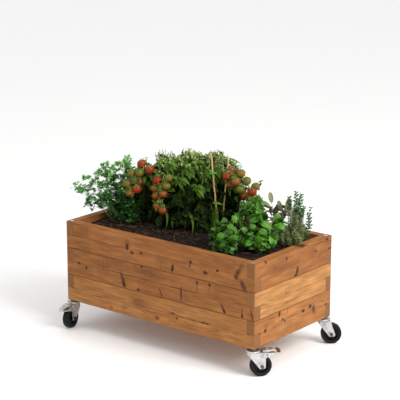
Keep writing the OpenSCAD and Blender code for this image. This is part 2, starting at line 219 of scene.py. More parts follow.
# Knots, pitch streaks and soft shades on the boards that have their own, as (along the wall from its middle,
# height above ground, half length, half height, tilt in degrees), in mm
KNOT, PITCH, SHADE = range(3)
MARKS = {
    "front_board_1": {
        KNOT: [
            (-188, 498, 8, 14, 0), (-156, 474, 10, 6, -20), (-97, 483, 8, 5, 10), (216, 496, 6, 9, 0),
            (210, 478, 5, 4, 0), (306, 462, 10, 8, 0), (379, 487, 8, 5, 0), (103, 444, 7, 17, -10),
            (-536, 421, 12, 4, 0)],
        PITCH: [
            (498, 500, 9, 20, -25), (491, 479, 12, 13, 0), (532, 442, 12, 26, 32)],
        SHADE: [
            (-184, 514, 14, 16, 10), (30, 438, 3, 20, 0), (516, 524, 10, 40, -25), (-300, 483, 90, 2.5, 2),
            (40, 482, 50, 2.5, 6)],
    },
    "front_board_2": {
        KNOT: [
            (-94, 415, 7, 5, 0), (332, 407, 6, 6, 0), (-515, 350, 9, 6, -10), (-465, 336, 6, 8, 10),
            (-213, 300, 8, 14, 22), (-118, 291, 8, 6, 0), (157, 328, 4.5, 28, 0), (420, 294, 7, 8, 0),
            (-180, 352, 170, 1.8, 0), (120, 349, 120, 1.6, 0), (527, 294, 6, 8, 0)],
        PITCH: [
            (256, 403, 7, 10, 0), (-217, 322, 9, 38, 22), (30, 302, 4, 22, 28), (414, 306, 7, 26, 30),
            (527, 306, 3.5, 24, 0), (584, 305, 5, 30, 14)],
        SHADE: [
            (-141, 409, 6, 8, 20), (-50, 388, 90, 18, 0), (256, 382, 5, 20, 0), (331, 388, 3, 20, 0),
            (-380, 372, 2.2, 20, 0), (-352, 372, 2.2, 20, 0), (-412, 380, 2.2, 22, 0), (-322, 388, 2.5, 30, 0)],
    },
    "front_board_3": {
        KNOT: [
            (5, 170, 5, 5, 0), (300, 209, 30, 3, 0), (129, 195, 6, 4, 0), (103, 214, 10, 3, 0),
            (-562, 212, 8, 5, 0), (564, 213, 8, 5, 0)],
        PITCH: [
            (200, 209, 110, 2.2, -1)],
        SHADE: [
            (-120, 222, 34, 26, 0), (-55, 192, 26, 4, -14), (-82, 186, 20, 3, -20), (2, 170, 13, 10, 0),
            (-210, 177, 12, 4, 10), (-300, 160, 8, 8, 0), (420, 210, 30, 2, 0), (-440, 196, 80, 3, 4),
            (350, 178, 30, 3, 12)],
    },
    "right_board_1": {
        KNOT: [
            (-231, 551, 10, 5, -28), (-66, 531, 6, 8, 0), (178, 509, 10, 4, -15), (24, 447, 8, 18, -14),
            (10, 428, 13, 6, 10), (272, 549, 11, 5, -12), (296, 498, 13, 3.5, -8), (68, 559, 20, 1.4, 0),
            (106, 553, 24, 1.4, -13), (150, 547, 26, 1.4, -3), (198, 546, 24, 1.4, 0),
            (236, 543, 20, 1.4, -14), (282, 536, 34, 1.4, -6)],
        PITCH: [
            (72, 557, 22, 5, 0), (-215, 413, 110, 3, 5)],
        SHADE: [
            (-68, 512, 12, 14, 0), (150, 518, 26, 18, 0), (-290, 486, 34, 2.5, 0), (-110, 502, 80, 30, 0),
            (-200, 421, 90, 2.5, 4), (160, 420, 120, 3, 2), (145, 488, 18, 3, 5)],
    },
    "right_board_2": {
        PITCH: [
            (296, 338, 12, 12, 0)],
        SHADE: [
            (-62, 357, 12, 5, -20), (-50, 351, 30, 2, 8), (-58, 311, 24, 3, 4), (-170, 352, 34, 2, -5),
            (90, 380, 40, 2, -18), (-230, 340, 40, 2, -18), (272, 350, 14, 4, 15)],
    },
    "right_board_3": {
        KNOT: [
            (-118, 267, 7, 12, -10), (-278, 208, 10, 4, -16), (-230, 213, 10, 8, 0), (-92, 233, 6, 5, 0),
            (-74, 221, 8, 4, -30), (78, 230, 11, 6, 0), (136, 238, 10, 9, 0), (276, 212, 9, 6, 0)],
        PITCH: [
            (167, 219, 11, 14, 0)],
        SHADE: [
            (-52, 268, 3, 15, 0), (-223, 232, 9, 6, -40), (176, 196, 14, 10, -40), (250, 233, 24, 3, -24),
            (-20, 228, 60, 3, 2), (-165, 262, 70, 2.5, 0), (70, 252, 50, 3, -6)],
    },
}
# For each kind: colour, where its edge starts and ends, and how strongly it shows
MARK_LOOKS = (
    (srgb(58, 30, 15), (0.6, 1.2), 0.94),
    (srgb(76, 38, 30), (0.3, 1.3), 0.88),
    (srgb(100, 58, 29), (0.2, 1.6), 0.66),
)
# Marks with both half sizes under SMALL mm are enlarged more than the others
SMALL, GROW_SMALL, GROW_LARGE = 40, 1.35, 1.1
# A board is two strips this high, glued from blocks joined end to end
STRIP, BLOCK, STAGGER = 0.070, 0.31, 0.137
# A growth ring comes every 2 / RINGS metres
RINGS = 190.0
PALE, MEDIUM, WARM, DEEP = srgb(171, 120, 68), srgb(163, 109, 60), srgb(155, 100, 51), srgb(137, 85, 42)
# The lighter and darker wood of each board in view
TONES = {
    "front_board_1": (WARM, DEEP), "front_board_2": (WARM, DEEP), "front_board_3": (PALE, WARM),
    "right_board_1": (WARM, DEEP), "right_board_2": (PALE, PALE), "right_board_3": (MEDIUM, WARM),
}


def marks_of(name, half_length, rng):
    """The knots and streaks of a board, with their kinds. A board that isn't listed gets random ones."""
    if name in MARKS:
        return [(*mark, kind) for kind, marks in MARKS[name].items() for mark in marks]
    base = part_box(name)[0].z / MM
    marks = []
    for _ in range(12):
        kind = rng.choice((KNOT, KNOT, KNOT, PITCH, SHADE))
        wide = rng.uniform(5, 11) if kind != SHADE else rng.uniform(20, 80)
        high = rng.uniform(4, 12) if kind != SHADE else rng.uniform(2, 4)
        along = rng.uniform(-half_length, half_length) / MM
        marks.append((along, base + rng.uniform(10, 130), wide, high, rng.uniform(-25, 25), kind))
    return marks


def timber(name, index):
    """A stained softwood board: growth rings, knots, glue lines, end grain, and painted shade in the seams between
    boards.
    """
    low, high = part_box(name)
    long_way = high.x - low.x > high.y - low.y
    half = max(high.x - low.x, high.y - low.y) / 2
    thick = min(high.x - low.x, high.y - low.y)
    rng = random.Random(900 + index)
    light, dark = TONES.get(name, rng.choice(((WARM, DEEP), (PALE, WARM), (WARM, DEEP))))
    look = Look("timber_" + name, Specular_IOR_Level=0.2)
    x, y, z = look.split(look.vector("SUBTRACT", look.place, (MID.x, MID.y, 0)))
    nx, ny, nz = look.split(look.normal)
    along, depth, n_along = (x, y, nx) if long_way else (y, x, ny)
    rise = look.minus(z, low.z)

    # each block has its own roll of three random numbers
    strip = look.math("FLOOR", look.math("DIVIDE", rise, STRIP))
    shift = look.times(strip, STAGGER)
    block_at = look.plus(look.math("DIVIDE", look.plus(along, shift), BLOCK), index * 0.37)
    block = look.math("FLOOR", block_at)
    roll = look.node("TexWhiteNoise", {0: look.join(strip, block, float(index))}).outputs[1]
    r1, r2, r3 = look.split(roll)
    block_gap = look.ranged(look.math("PINGPONG", block_at, 0.5), 0.0, 0.006, 1.0, 0.0)

    # growth rings about a pith that lies off the block, bent round every knot
    board = look.join(along, rise, depth)
    wander = look.stretched(board, (2.2, 14, 14), 2.0)
    fine = look.stretched(board, (9, 420, 420), 3.0, 0.6)
    broad = look.stretched(board, (3.0, 11, 11), 2.0, location=(index * 3.1, 0, 0))
    bulge = 0.0
    masks = [0.0, 0.0, 0.0]
    wobble = look.node("TexNoise", {"Vector": board, "Scale": 60.0, "Detail": 2.0}).outputs[1]
    wobble = look.node("VectorMath", {0: wobble, "Scale": 0.010}, operation="SCALE").outputs["Vector"]
    spot_place = look.vector("ADD", look.join(along, z, 0.0), wobble)
    for a, h, wide, tall, tilt, kind in marks_of(name, half, rng):
        grow = MM * (GROW_SMALL if max(wide, tall) < SMALL else GROW_LARGE)
        local = look.mapped(spot_place, (a * MM + 0.005, h * MM + 0.005, 0), (0, 0, math.radians(tilt)),
                            (wide * grow, tall * grow, 1), "TEXTURE")
        far = look.vector("LENGTH", look.vector("MULTIPLY", local, (1, 1, 0)))
        masks[kind] = look.most(look.ranged(far, *MARK_LOOKS[kind][1], 1.0, 0.0), masks[kind])
        if kind == KNOT:
            bulge = look.plus(look.ranged(far, 0.5, 4.5, 0.011, 0.0), bulge)
    pith_rise = look.ranged(r2, 0.0, 1.0, -0.25, 0.32, False)
    pith_depth = look.ranged(r3, 0.0, 1.0, 0.03, 0.16, False)
    across = look.vector("LENGTH", look.join(look.minus(rise, pith_rise), look.plus(depth, pith_depth), 0.0))
    ring_at = look.plus(look.math("MULTIPLY_ADD", wander, 0.024, across), bulge)
    ring = look.math("PINGPONG", look.times(ring_at, RINGS), 1.0)
    late = look.ranged(ring, 0.62, 1.0)

    colour = look.mix(look.ranged(look.plus(look.times(r1, 0.30), broad), 0.30, 0.95), light, dark)
    colour = look.mix(look.times(late, look.ranged(wander, 0.3, 0.7, 0.10, 0.34)), colour, srgb(118, 70, 38))
    colour = look.shade(colour, look.ranged(fine, 0.3, 0.7, 0.90, 1.08, False))
    streak = look.stretched(board, (6.5, 105, 105), 3.0, 0.6, location=(index * 1.7, 0, 0))
    colour = look.mix(look.ranged(streak, 0.50, 0.72, 0.0, 0.50), colour, MARK_LOOKS[SHADE][0])
    pale = look.stretched(board, (9, 44, 44), 3.0, location=(0, index * 2.3, 0))
    colour = look.shade(colour, look.ranged(pale, 0.35, 0.75, 0.87, 1.24))
    patchy = look.ranged(look.noise(board, 26.0, 2.0), 0.35, 0.65, 0.5, 1.0)
    for kind, worn in ((SHADE, patchy), (PITCH, 1.0), (KNOT, 1.0)):
        tint, _, strength = MARK_LOOKS[kind]
        colour = look.mix(look.times(look.times(masks[kind], strength), worn), colour, tint)

    # end grain, glue lines, finger joints, and painted shade in the seams between boards
    end = look.ranged(look.size(n_along), 0.6, 0.8)
    cut = look.mix(look.times(late, 0.5), srgb(124, 84, 50), srgb(86, 54, 31))
    colour = look.mix(look.times(end, 0.8), colour, cut)
    upright = look.minus(1.0, look.size(nz))
    glue = look.ranged(look.size(look.minus(rise, STRIP)), 0.0006, 0.0024, 1.0, 0.0)
    glue = look.times(glue, look.ranged(look.stretched(board, (7, 1, 1)), 0.42, 0.6, 0.1, 0.7))
    joint = look.minus(look.size(along), half - thick)
    joint = look.ranged(look.size(joint), 0.0006, 0.0020, 0.75, 0.0)
    where = look.math("GREATER_THAN" if long_way else "LESS_THAN", rise, STRIP)
    joint = look.times(joint, where)
    # painted shade in the seams: the wood darkens within a few mm of the board's top and bottom edges
    to_edge = look.minus(STRIP, look.size(look.minus(rise, STRIP)))
    seam_shade = look.ranged(to_edge, 0.0018, 0.0050, 0.75, 0.0)
    # glue lines, finger joints and block gaps are real dark joints; the seam part of this mix is painted shade
    lines = look.most(look.most(glue, joint), look.most(seam_shade, look.times(block_gap, 0.35)))
    colour = look.mix(look.times(lines, upright), colour, srgb(92, 52, 26))
    rough = look.ranged(fine, 0.2, 0.8, 0.52, 0.72, False)
    height = look.plus(look.times(late, -0.35), fine)
    height = look.minus(height, look.times(lines, 2.0))
    return look.finish(colour, rough, height, 0.35, 0.0008)


def paper(name):
    look = Look(name, Specular_IOR_Level=0.1)
    return look.finish(look.mix(look.noise(look.place, 1.5), (0.97, 0.97, 0.965), (0.955, 0.955, 0.955)), 0.8)


def plain_timber(name):
    look = Look(name, Specular_IOR_Level=0.3)
    grain = look.stretched(look.place, (5, 90, 90), 3.0, 0.6, 0.4)
    broad = look.noise(look.place, 7.0, 2.0)
    colour = look.mix(grain, srgb(196, 142, 92), srgb(150, 98, 58))
    colour = look.shade(colour, look.ranged(broad, 0.3, 0.7, 0.85, 1.1))
    return look.finish(colour, look.ranged(grain, 0.2, 0.8, 0.6, 0.8), grain, 0.4, 0.0008)


def zinc(name, bright, dull, rough):
    """Zinc plate: faint crystals, soft scuffs and a little dirt."""
    look = Look(name, Metallic=1.0)
    crystals = look.cells(look.place, 190.0).outputs["Color"]
    c1, _, _ = look.split(crystals)
    cloud = look.noise(look.place, 38.0, 4.0, 0.6)
    scuffs = look.stretched(look.place, (60, 60, 900), 2.0)
    colour = look.mix(look.ranged(cloud, 0.42, 0.72), bright, dull)
    colour = look.shade(colour, look.ranged(c1, 0.0, 1.0, 0.94, 1.04))
    level = look.math("MULTIPLY_ADD", cloud, 0.22, look.times(scuffs, 0.08))
    return look.finish(colour, look.plus(level, rough), look.plus(scuffs, c1), 0.06, 0.0004)


def rubber(name, dark, dusty, rough, dust):
    """Rubber, plastic or dull cloth, dusty to the amount dust."""
    look = Look(name, Specular_IOR_Level=0.25)
    cloud = look.noise(look.place, 55.0, 5.0, 0.65)
    fine = look.noise(look.place, 900.0, 2.0)
    colour = look.mix(look.ranged(cloud, 0.45, 0.8, 0.0, dust), dark, dusty)
    return look.finish(colour, look.ranged(cloud, 0.3, 0.7, rough, rough + 0.15), fine, 0.15, 0.0003)


def turned_cap(name):
    """A turned steel cap, with rings about each corner's axis."""
    look = Look(name, Metallic=0.9)
    x, y, _ = look.split(look.place)
    low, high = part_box("rod_caps")
    radius = 0.010
    px = look.minus(look.size(look.minus(x, MID.x)), (high.x - low.x) / 2 - radius)
    py = look.minus(look.size(look.minus(y, MID.y)), (high.y - low.y) / 2 - radius)
    far = look.vector("LENGTH", look.join(px, py, 0.0))
    rings = look.math("PINGPONG", look.times(far, 1600.0), 1.0)
    cloud = look.noise(look.place, 140.0, 3.0)
    colour = look.mix(cloud, srgb(226, 222, 212), srgb(176, 170, 160))
    return look.finish(colour, look.ranged(cloud, 0.3, 0.7, 0.26, 0.42), rings, 0.12, 0.0004)


def earth(name):
    look = Look(name, Specular_IOR_Level=0.2)
    crumbs = look.cells(look.place, 240.0)
    damp = look.noise(look.place, 14.0, 4.0, 0.6)
    fine = look.noise(look.place, 420.0, 3.0, 0.7)
    colour = look.mix(look.ranged(damp, 0.35, 0.65), srgb(28, 20, 14), srgb(48, 35, 25))
    colour = look.mix(look.ranged(fine, 0.62, 0.75), colour, srgb(78, 59, 44))
    colour = look.shade(colour, look.ranged(crumbs.outputs["Distance"], 0.0, 0.6, 1.15, 0.55))
    return look.finish(colour, 0.92, look.plus(fine, crumbs.outputs["Distance"]), 0.8, 0.004)


def bark(name):
    look = Look(name, Specular_IOR_Level=0.25)
    _, _, tone = look.split(look.attribute("leaf"))
    streaks = look.stretched(look.place, (60, 260, 260), 4.0, 0.7)
    colour = look.mix(tone, srgb(33, 22, 15), srgb(88, 60, 41))
    colour = look.shade(colour, look.ranged(streaks, 0.3, 0.7, 0.6, 1.25))
    return look.finish(colour, 0.85, streaks, 0.7, 0.002)


def leaf_look(name, dark, light, vein, rough=0.45, ribs=7.0, vein_strength=0.5, bump=0.35, sheen=0.0, gloss=0.2):
    """A leaf: its tone, midrib and side veins follow the blade's own coordinates. The tone is set for each leaf and,
    in the plants, carries painted light and shade along with the leaf's own variation.
    """
    look = Look(name, Specular_IOR_Level=gloss, Sheen_Weight=sheen)
    along, across, tone = look.split(look.attribute("leaf"))
    out = look.size(across)
    midrib = look.ranged(out, 0.03, 0.14, 1.0, 0.0)
    side = look.math("PINGPONG", look.minus(look.times(along, ribs), look.times(out, 1.6)), 0.5)
    side = look.ranged(side, 0.0, 0.10, 1.0, 0.0)
    mottle = look.noise(look.place, 95.0, 3.0, 0.6)
    fine = look.noise(look.place, 700.0, 2.0)
    level = look.plus(tone, look.ranged(mottle, 0.3, 0.7, -0.16, 0.16, False))
    colour = look.mix(look.ranged(level, 0.0, 1.0, smooth=False), dark, light)
    veins = look.most(midrib, look.times(side, 0.45))
    shown = look.times(veins, look.ranged(level, 0.0, 0.5, 0.2 * vein_strength, vein_strength))
    colour = look.mix(shown, colour, vein)
    height = look.minus(look.times(fine, 0.3), veins)
    return look.finish(colour, look.ranged(mottle, 0.3, 0.7, rough, rough + 0.14), height, bump, 0.0012)


def stem_look(name, dark, light):
    look = Look(name, Specular_IOR_Level=0.35)
    _, _, tone = look.split(look.attribute("leaf"))
    streaks = look.stretched(look.place, (300, 300, 25), 3.0)
    colour = look.mix(tone, dark, light)
    colour = look.shade(colour, look.ranged(streaks, 0.3, 0.7, 0.8, 1.15))
    return look.finish(colour, 0.55, streaks, 0.3, 0.0006)


def cane_look(name):
    """Bamboo: pale straw with darker rings at the nodes."""
    look = Look(name, Specular_IOR_Level=0.4)
    along, _, tone = look.split(look.attribute("leaf"))
    streaks = look.stretched(look.place, (420, 420, 14), 4.0, 0.6)
    colour = look.mix(tone, srgb(222, 190, 128), srgb(150, 92, 58))
    colour = look.shade(colour, look.ranged(streaks, 0.3, 0.7, 0.82, 1.1))
    colour = look.mix(look.ranged(along, 0.5, 1.0), colour, srgb(112, 74, 44))
    return look.finish(colour, look.ranged(streaks, 0.3, 0.7, 0.34, 0.5), streaks, 0.25, 0.0005)


def fruit_look(name):
    """Tomato skin: ripe red to olive green by the fruit's own tone, greener round the stalk."""
    look = Look(name, Specular_IOR_Level=0.2, Coat_Weight=0.05, Coat_Roughness=0.15)
    down, _, ripe = look.split(look.attribute("leaf"))
    cloud = look.noise(look.place, 42.0, 3.0, 0.55)
    fine = look.noise(look.place, 520.0, 2.0)
    level = look.plus(look.math("MULTIPLY_ADD", down, 0.55, -0.25), ripe)
    level = look.plus(level, look.ranged(cloud, 0.3, 0.7, -0.14, 0.14, False))
    colour = look.mix(look.ranged(level, 0.05, 0.45), srgb(94, 97, 32), srgb(136, 74, 27))
    colour = look.mix(look.ranged(level, 0.35, 0.85), colour, srgb(134, 37, 11))
    return look.finish(colour, look.ranged(fine, 0.3, 0.7, 0.22, 0.32), cloud, 0.05, 0.001)


# ---------------------------------------------------------------- meshes

def leaf_axes(along, face):
    """Unit directions along a leaf, to its side and out of its upper face."""
    along = along.normalized()
    side = along.cross(face)
    side = side.normalized() if side.length > 1e-6 else along.orthogonal().normalized()
    return along, side, side.cross(along)


class Growth:
    """Vertices and faces of one piece, with (along, across, tone) kept for each vertex."""

    def __init__(self):
        self.verts, self.faces, self.marks = [], [], []

    def add(self, verts, faces, marks):
        start = len(self.verts)
        self.verts += verts
        self.marks += marks
        self.faces += [[start + i for i in face] for face in faces]

    def rings(self, verts, marks, sides, forward):
        """Join rings of vertices into a closed skin. forward says that they turn with the way they advance."""
        faces = []
        for row in range(0, len(verts) - sides, sides):
            for k in range(sides):
                a, b = row + k, row + (k + 1) % sides
                faces.append((a, b, b + sides, a + sides) if forward else (a, a + sides, b + sides, b))
        first, last = list(range(sides)), list(range(len(verts) - sides, len(verts)))
        faces += [first[::-1], last] if forward else [first, last[::-1]]
        self.add(verts, faces, marks)

    def blade(self, base, along, face, length, width, outline, tone, cup=0.15, droop=0.5, steps=5, twist=0.0,
              cols=(-1, 0, 1)):
        """A leaf blade from base, bent down along its length and folded or cupped about its midrib."""
        along, side, face = leaf_axes(along, face)
        verts, marks = [], []
        centre = base.copy()
        for i in range(steps + 1):
            t = i / steps
            bend = droop * t
            step = along * math.cos(bend) - face * math.sin(bend)
            lift = face * math.cos(bend) + along * math.sin(bend)
            if i:
                centre = centre + step * (length / steps)
            turned = side * math.cos(twist * t) + lift * math.sin(twist * t)
            half = width / 2 * max(outline(t), 0.03)
            for s in cols:
                verts.append(centre + turned * (s * half) + lift * (s * s * cup * half))
                marks.append((t, float(s), tone))
        n = len(cols)
        faces = [(a, a + 1, a + n + 1, a + n) for i in range(steps) for a in range(n * i, n * i + n - 1)]
        self.add(verts, faces, marks)

    def fan(self, base, along, face, size, tone, lobes, cup, rng):
        """A lobed leaflet, like parsley's."""
        along, side, face = leaf_axes(along, face)
        count = lobes * 3
        spread = 236
        notches = (0.42, 1.0, 0.86)
        verts, marks = [base, base + along * size * 0.42 - face * size * 0.05], [(0, 0, tone), (0.5, 0, tone)]
        for i in range(count + 1):
            angle = math.radians(-spread / 2 + spread * i / count)
            lobe = (0.38 + 0.26 * math.cos(angle / 2)) * notches[i % 3]
            reach = size * lobe * rng.uniform(0.78, 1.15)
            point = base + along * (size * 0.42 + reach * math.cos(angle)) + side * (reach * math.sin(angle))
            point += face * (cup * reach * rng.uniform(-0.5, 0.7))
            verts.append(point)
            marks.append((0.5 + 0.5 * math.cos(angle), math.sin(angle), tone))
        faces = [(1, 2 + i, 3 + i) for i in range(count)]
        faces += [(0, 2, 1), (0, 1, 2 + count)]
        self.add(verts, faces, marks)

    def tube(self, points, r0, r1, tone, sides=5, along=None):
        """A round stem through points, tapering from r0 to r1. r0, tone and along may be functions of 0 to 1."""
        verts, marks = [], []
        n = len(points)
        for i, p in enumerate(points):
            ahead = (points[min(i + 1, n - 1)] - points[max(i - 1, 0)]).normalized()
            u = ahead.cross(Vector((0.31, 0.95, 0.05))).normalized()
            v = ahead.cross(u)
            radius = (r0 + (r1 - r0) * i / (n - 1)) if not callable(r0) else r0(i / (n - 1))
            for k in range(sides):
                a = 2 * math.pi * k / sides
                verts.append(p + (u * math.cos(a) + v * math.sin(a)) * radius)
                shade = tone(i / (n - 1)) if callable(tone) else tone
                marks.append((along(i / (n - 1)) if along else 0.0, 0.0, shade))
        self.rings(verts, marks, sides, True)

    def ball(self, centre, radius, axis, tone, rings=9, sides=14, squash=0.92):
        """A fruit hung from its stalk end, dimpled there. axis points from its middle to the stalk."""
        dimple, dimple_angle, ribs, rib_depth = 0.20, 0.42, 5, 0.015
        axis = axis.normalized()
        u = axis.orthogonal().normalized()
        v = axis.cross(u)
        verts, marks = [], []
        for i in range(rings + 1):
            angle = math.pi * i / rings
            across = math.sin(angle) * radius
            up = math.cos(angle) * radius * squash
            up -= radius * dimple * math.exp(-((angle / dimple_angle) ** 2))
            for k in range(sides):
                a = 2 * math.pi * k / sides
                ribbed = across * (1 + rib_depth * math.cos(ribs * a))
                verts.append(centre + axis * up + (u * math.cos(a) + v * math.sin(a)) * max(ribbed, radius * 0.02))
                marks.append((i / rings, 0.0, tone))
        self.rings(verts, marks, sides, False)

    def piece(self, name, material, slot, stands_for=(), smooth=True, body=BODY):
        """Make the piece, riding on body, in place of the CAD nodes it stands for."""
        mesh = bpy.data.meshes.new(name)
        mesh.from_pydata([tuple(v) for v in self.verts], [], self.faces)
        mesh.attributes.new("leaf", "FLOAT_VECTOR", "POINT").data.foreach_set(
            "vector", [c for mark in self.marks for c in mark])
        mesh.polygons.foreach_set("use_smooth", [smooth] * len(mesh.polygons))
        mesh.materials.append(material)
        obj = bpy.data.objects.new(name, mesh)
        bpy.context.scene.collection.objects.link(obj)
        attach(obj, body)
        if stands_for:
            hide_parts(*stands_for)


def arc(a, b, bow, n=5):
    """Points from a to b on a curve that leaves the straight line by bow."""
    middle = (a + b) / 2 + bow
    return [a * (1 - t) ** 2 + middle * (2 * t * (1 - t)) + b * t ** 2 for t in (i / n for i in range(n + 1))]


# The foliage of each plant as rounded masses, [x, y, height, radius] in mm in the bed, as the CAD model has them
MASSES = {
    "parsley": [
        (-572, -160, 172, 40), (-522, -110, 238, 46), (-512, -158, 120, 48), (-465, -80, 215, 56),
        (-425, -30, 285, 40), (-430, -20, 130, 58), (-530, -20, 150, 50), (-440, 50, 210, 50),
        (-410, 20, 66, 46), (-500, -60, 90, 52)],
    "tomato": [
        (-230, 60, 270, 68), (-130, 110, 308, 66), (-20, 170, 306, 70), (50, 222, 280, 44),
        (-240, 110, 170, 85), (-110, 80, 170, 90), (-20, 200, 190, 70), (60, 220, 180, 50),
        (-160, 180, 250, 80), (-225, 35, 70, 68), (-120, 50, 80, 72), (-20, 55, 72, 52), (-25, 190, 85, 65),
        (75, 210, 95, 44), (-300, 35, 150, 46), (-320, 20, 210, 54), (-45, 135, 245, 62), (-150, 165, 120, 80)],
    "basil_left": [
        (262, -170, 58, 40), (325, -125, 70, 40), (285, -125, 112, 44), (330, -175, 50, 40), (250, -120, 80, 34)],
    "basil_right": [
        (378, -45, 75, 42), (450, 5, 85, 44), (400, -10, 132, 44), (445, -55, 55, 40), (482, 40, 120, 36),
        (395, -70, 48, 40)],
    "lovage": [
        (205, 135, 78, 34), (250, 165, 100, 34), (243, 150, 140, 32), (228, 190, 90, 34), (205, 145, 118, 26),
        (272, 152, 150, 24)],
    "sage": [
        (345, 175, 100, 34), (390, 190, 105, 34), (352, 205, 80, 34)],
    "thyme": [
        (462, 125, 80, 32), (512, 150, 95, 34), (490, 158, 158, 33), (520, 110, 50, 34), (475, 95, 45, 30)],
}
# A point within this share of another mass's radius is hidden in it
HIDDEN = 0.92
# Foliage lower than RIM above the soil keeps inside these half sizes of the bed
WALL_X, WALL_Y, RIM = 545, 260, 45


def shell(name, count, rng, low, deep):
    """Points over the outside of a plant's masses, each with its outward direction.

    They lie above low and are sunk in by an amount from the range deep, both in mm.
    """
    masses = [(Vector(m[:3]), m[3]) for m in MASSES[name]]
    weights = [r * r for _, r in masses]
    found = 0
    while found < count:
        middle, r = rng.choices(masses, weights)[0]
        out = Vector((rng.gauss(0, 1), rng.gauss(0, 1), rng.gauss(0, 1))).normalized()
        sunk = rng.uniform(*deep)
        spot = middle + out * (r - sunk)
        if spot.z < low or spot.z < RIM and (abs(spot.x) > WALL_X or abs(spot.y) > WALL_Y):
            continue
        others = ((other, reach) for other, reach in masses if other is not middle)
        if any((spot - other).length < HIDDEN * reach - sunk for other, reach in others):
            continue
        found += 1
        yield bed(*spot), out


def clamped(value):
    return min(1.0, max(0.0, value))


def rising(at, start, over):
    """0 below the height start above the soil, 1 at start + over, in mm."""
    return clamped(((at.z - SOIL_Z) / MM - start) / over)


def jitter(rng, size):
    return Vector((rng.uniform(-size, size), rng.uniform(-size, size), rng.uniform(-size, size)))


# Outlines: the width of a leaf at t along it, 1 at its widest

def ovate(t):
    return math.sin(math.pi * min(1.0, t * 1.02) ** 0.72) ** 0.8 if 0 < t < 0.98 else 0.05


def lance(t):
    return math.sin(math.pi * t ** 0.7) * (1 - 0.25 * t) if 0 < t < 1 else 0.04


def oblong(t):
    return min(1.0, math.sin(math.pi * t) ** 0.45) if 0 < t < 1 else 0.1


def blunt(t):
    return math.sin(math.pi * t ** 0.85) ** 0.55 if 0 < t < 1 else 0.08


def toothed(t):
    return ovate(t) * (1.0 if int(t * 12) % 2 else 0.86)


# ---------------------------------------------------------------- soil and mulch

def soil_height(x, y):
    """The soft rise and fall of the soil, in metres."""
    amplitude = 0.004
    return amplitude * (0.5 * math.sin(x * 21 + 1.3) * math.cos(y * 17) + 0.5 * math.sin(x * 9 - y * 13))


def make_soil(rng):
    """A crumbly top over plain sides and a flat bottom."""
    nx, ny = 190, 92
    crumbly = 0.0022
    low, high = soil_low, soil_high
    growth = Growth()
    verts, marks, faces = [], [], []
    for j in range(ny + 1):
        for i in range(nx + 1):
            x = low.x + (high.x - low.x) * i / nx
            y = low.y + (high.y - low.y) * j / ny
            crumb = rng.uniform(-crumbly, crumbly) if min(i, j, nx - i, ny - j) else 0.0
            verts.append(Vector((x, y, high.z + soil_height(x, y) + crumb - 0.001)))
            marks.append((0.0, 0.0, rng.random()))
    row = nx + 1
    for j in range(ny):
        for i in range(nx):
            a = j * row + i
            faces.append((a, a + 1, a + row + 1, a + row))
    rim = list(range(nx)) + [nx + j * row for j in range(ny)]
    rim += [ny * row + nx - i for i in range(nx)] + [(ny - j) * row for j in range(ny)]
    start = len(verts)
    for i in rim:
        verts.append(Vector((verts[i].x, verts[i].y, low.z)))
        marks.append((0.0, 0.0, 0.5))
    for k in range(len(rim)):
        m = (k + 1) % len(rim)
        faces.append((rim[m], rim[k], start + k, start + m))
    faces.append(tuple(start + k for k in range(len(rim) - 1, -1, -1)))
    growth.add(verts, faces, marks)
    growth.piece("soil_bed", earth("soil"), "soil", ["soil"])


def make_mulch(rng):
    """Bark strips on the soil, thick over the left of the bed and thin elsewhere."""
    tries, bare_part, thin = 1500, 0.45, 0.28
    growth = Growth()
    for _ in range(tries):
        x = rng.uniform(soil_low.x + 0.03, soil_high.x - 0.03)
        y = rng.uniform(soil_low.y + 0.03, soil_high.y - 0.03)
        left = (x - soil_low.x) / (soil_high.x - soil_low.x)
        if rng.random() > (1.0 if left < bare_part else thin):
            continue
        length, width, thick = rng.uniform(0.012, 0.055), rng.uniform(0.004, 0.012), rng.uniform(0.002, 0.005)
        turn = rng.gauss(0.1, 0.5) if rng.random() < 0.7 else rng.uniform(0, math.pi)
        along = Vector((math.cos(turn), math.sin(turn), rng.uniform(-0.12, 0.2))).normalized()
        side = along.cross(UP).normalized()
        face = side.cross(along)
        centre = Vector((x, y, SOIL_Z + soil_height(x, y) + thick * rng.uniform(0.2, 1.6)))
        tone = rng.random() ** 2
        verts, marks = [], []
        for s, grow in ((-1, 0.5), (-0.35, 1.0), (0.4, 0.9), (1, 0.35)):
            wide = width * grow * rng.uniform(0.7, 1.15) / 2
            bow = face * rng.uniform(-0.0012, 0.0012)
            for dy, dz in ((-1, -0.5), (1, -0.5), (0.8, 0.5), (-0.8, 0.5)):
                offset = side * (dy * wide) + face * (dz * thick * grow)
                verts.append(centre + along * (s * length / 2) + offset + bow)
                marks.append((0.0, 0.0, tone))
        faces = [(3, 2, 1, 0), (12, 13, 14, 15)]
        for i in range(3):
            for k in range(4):
                a, b = 4 * i + k, 4 * i + (k + 1) % 4
                faces.append((a, b, b + 4, a + 4))
        growth.add(verts, faces, marks)
    growth.piece("bark_mulch", bark("bark"), "soil", smooth=False)


# ---------------------------------------------------------------- plants

# Where a wide leaf has its rows of vertices, from one edge to the other
ROUND = (-1, -0.72, -0.36, 0, 0.36, 0.72, 1)
BROAD = (-1, -0.5, 0, 0.5, 1)

# Parsley sprigs that stand clear of the rest, [x, y, height] in the bed
SPRIGS = [
    (-618, -225, 191), (-574, -190, 223), (-585, -210, 151), (-563, -190, 87), (-500, -110, 293),
    (-408, -60, 328), (-512, -120, 268), (-484, -90, 274), (-468, -60, 284), (-549, -150, 205),
    (-600, -215, 168), (-425, -50, 306), (-555, -180, 120), (-530, -130, 250), (-620, -160, 150),
    (-590, -150, 215)
]


def place(name, kind, leaves, stems):
    """Make a plant's leaves and stems, in place of its CAD node."""
    leaves.piece(name + "_leaves", GREENS[kind], kind + "_leaf", [name])
    stems.piece(name + "_stems", STEMS.get(kind, STEMS["green"]), "stem_green")


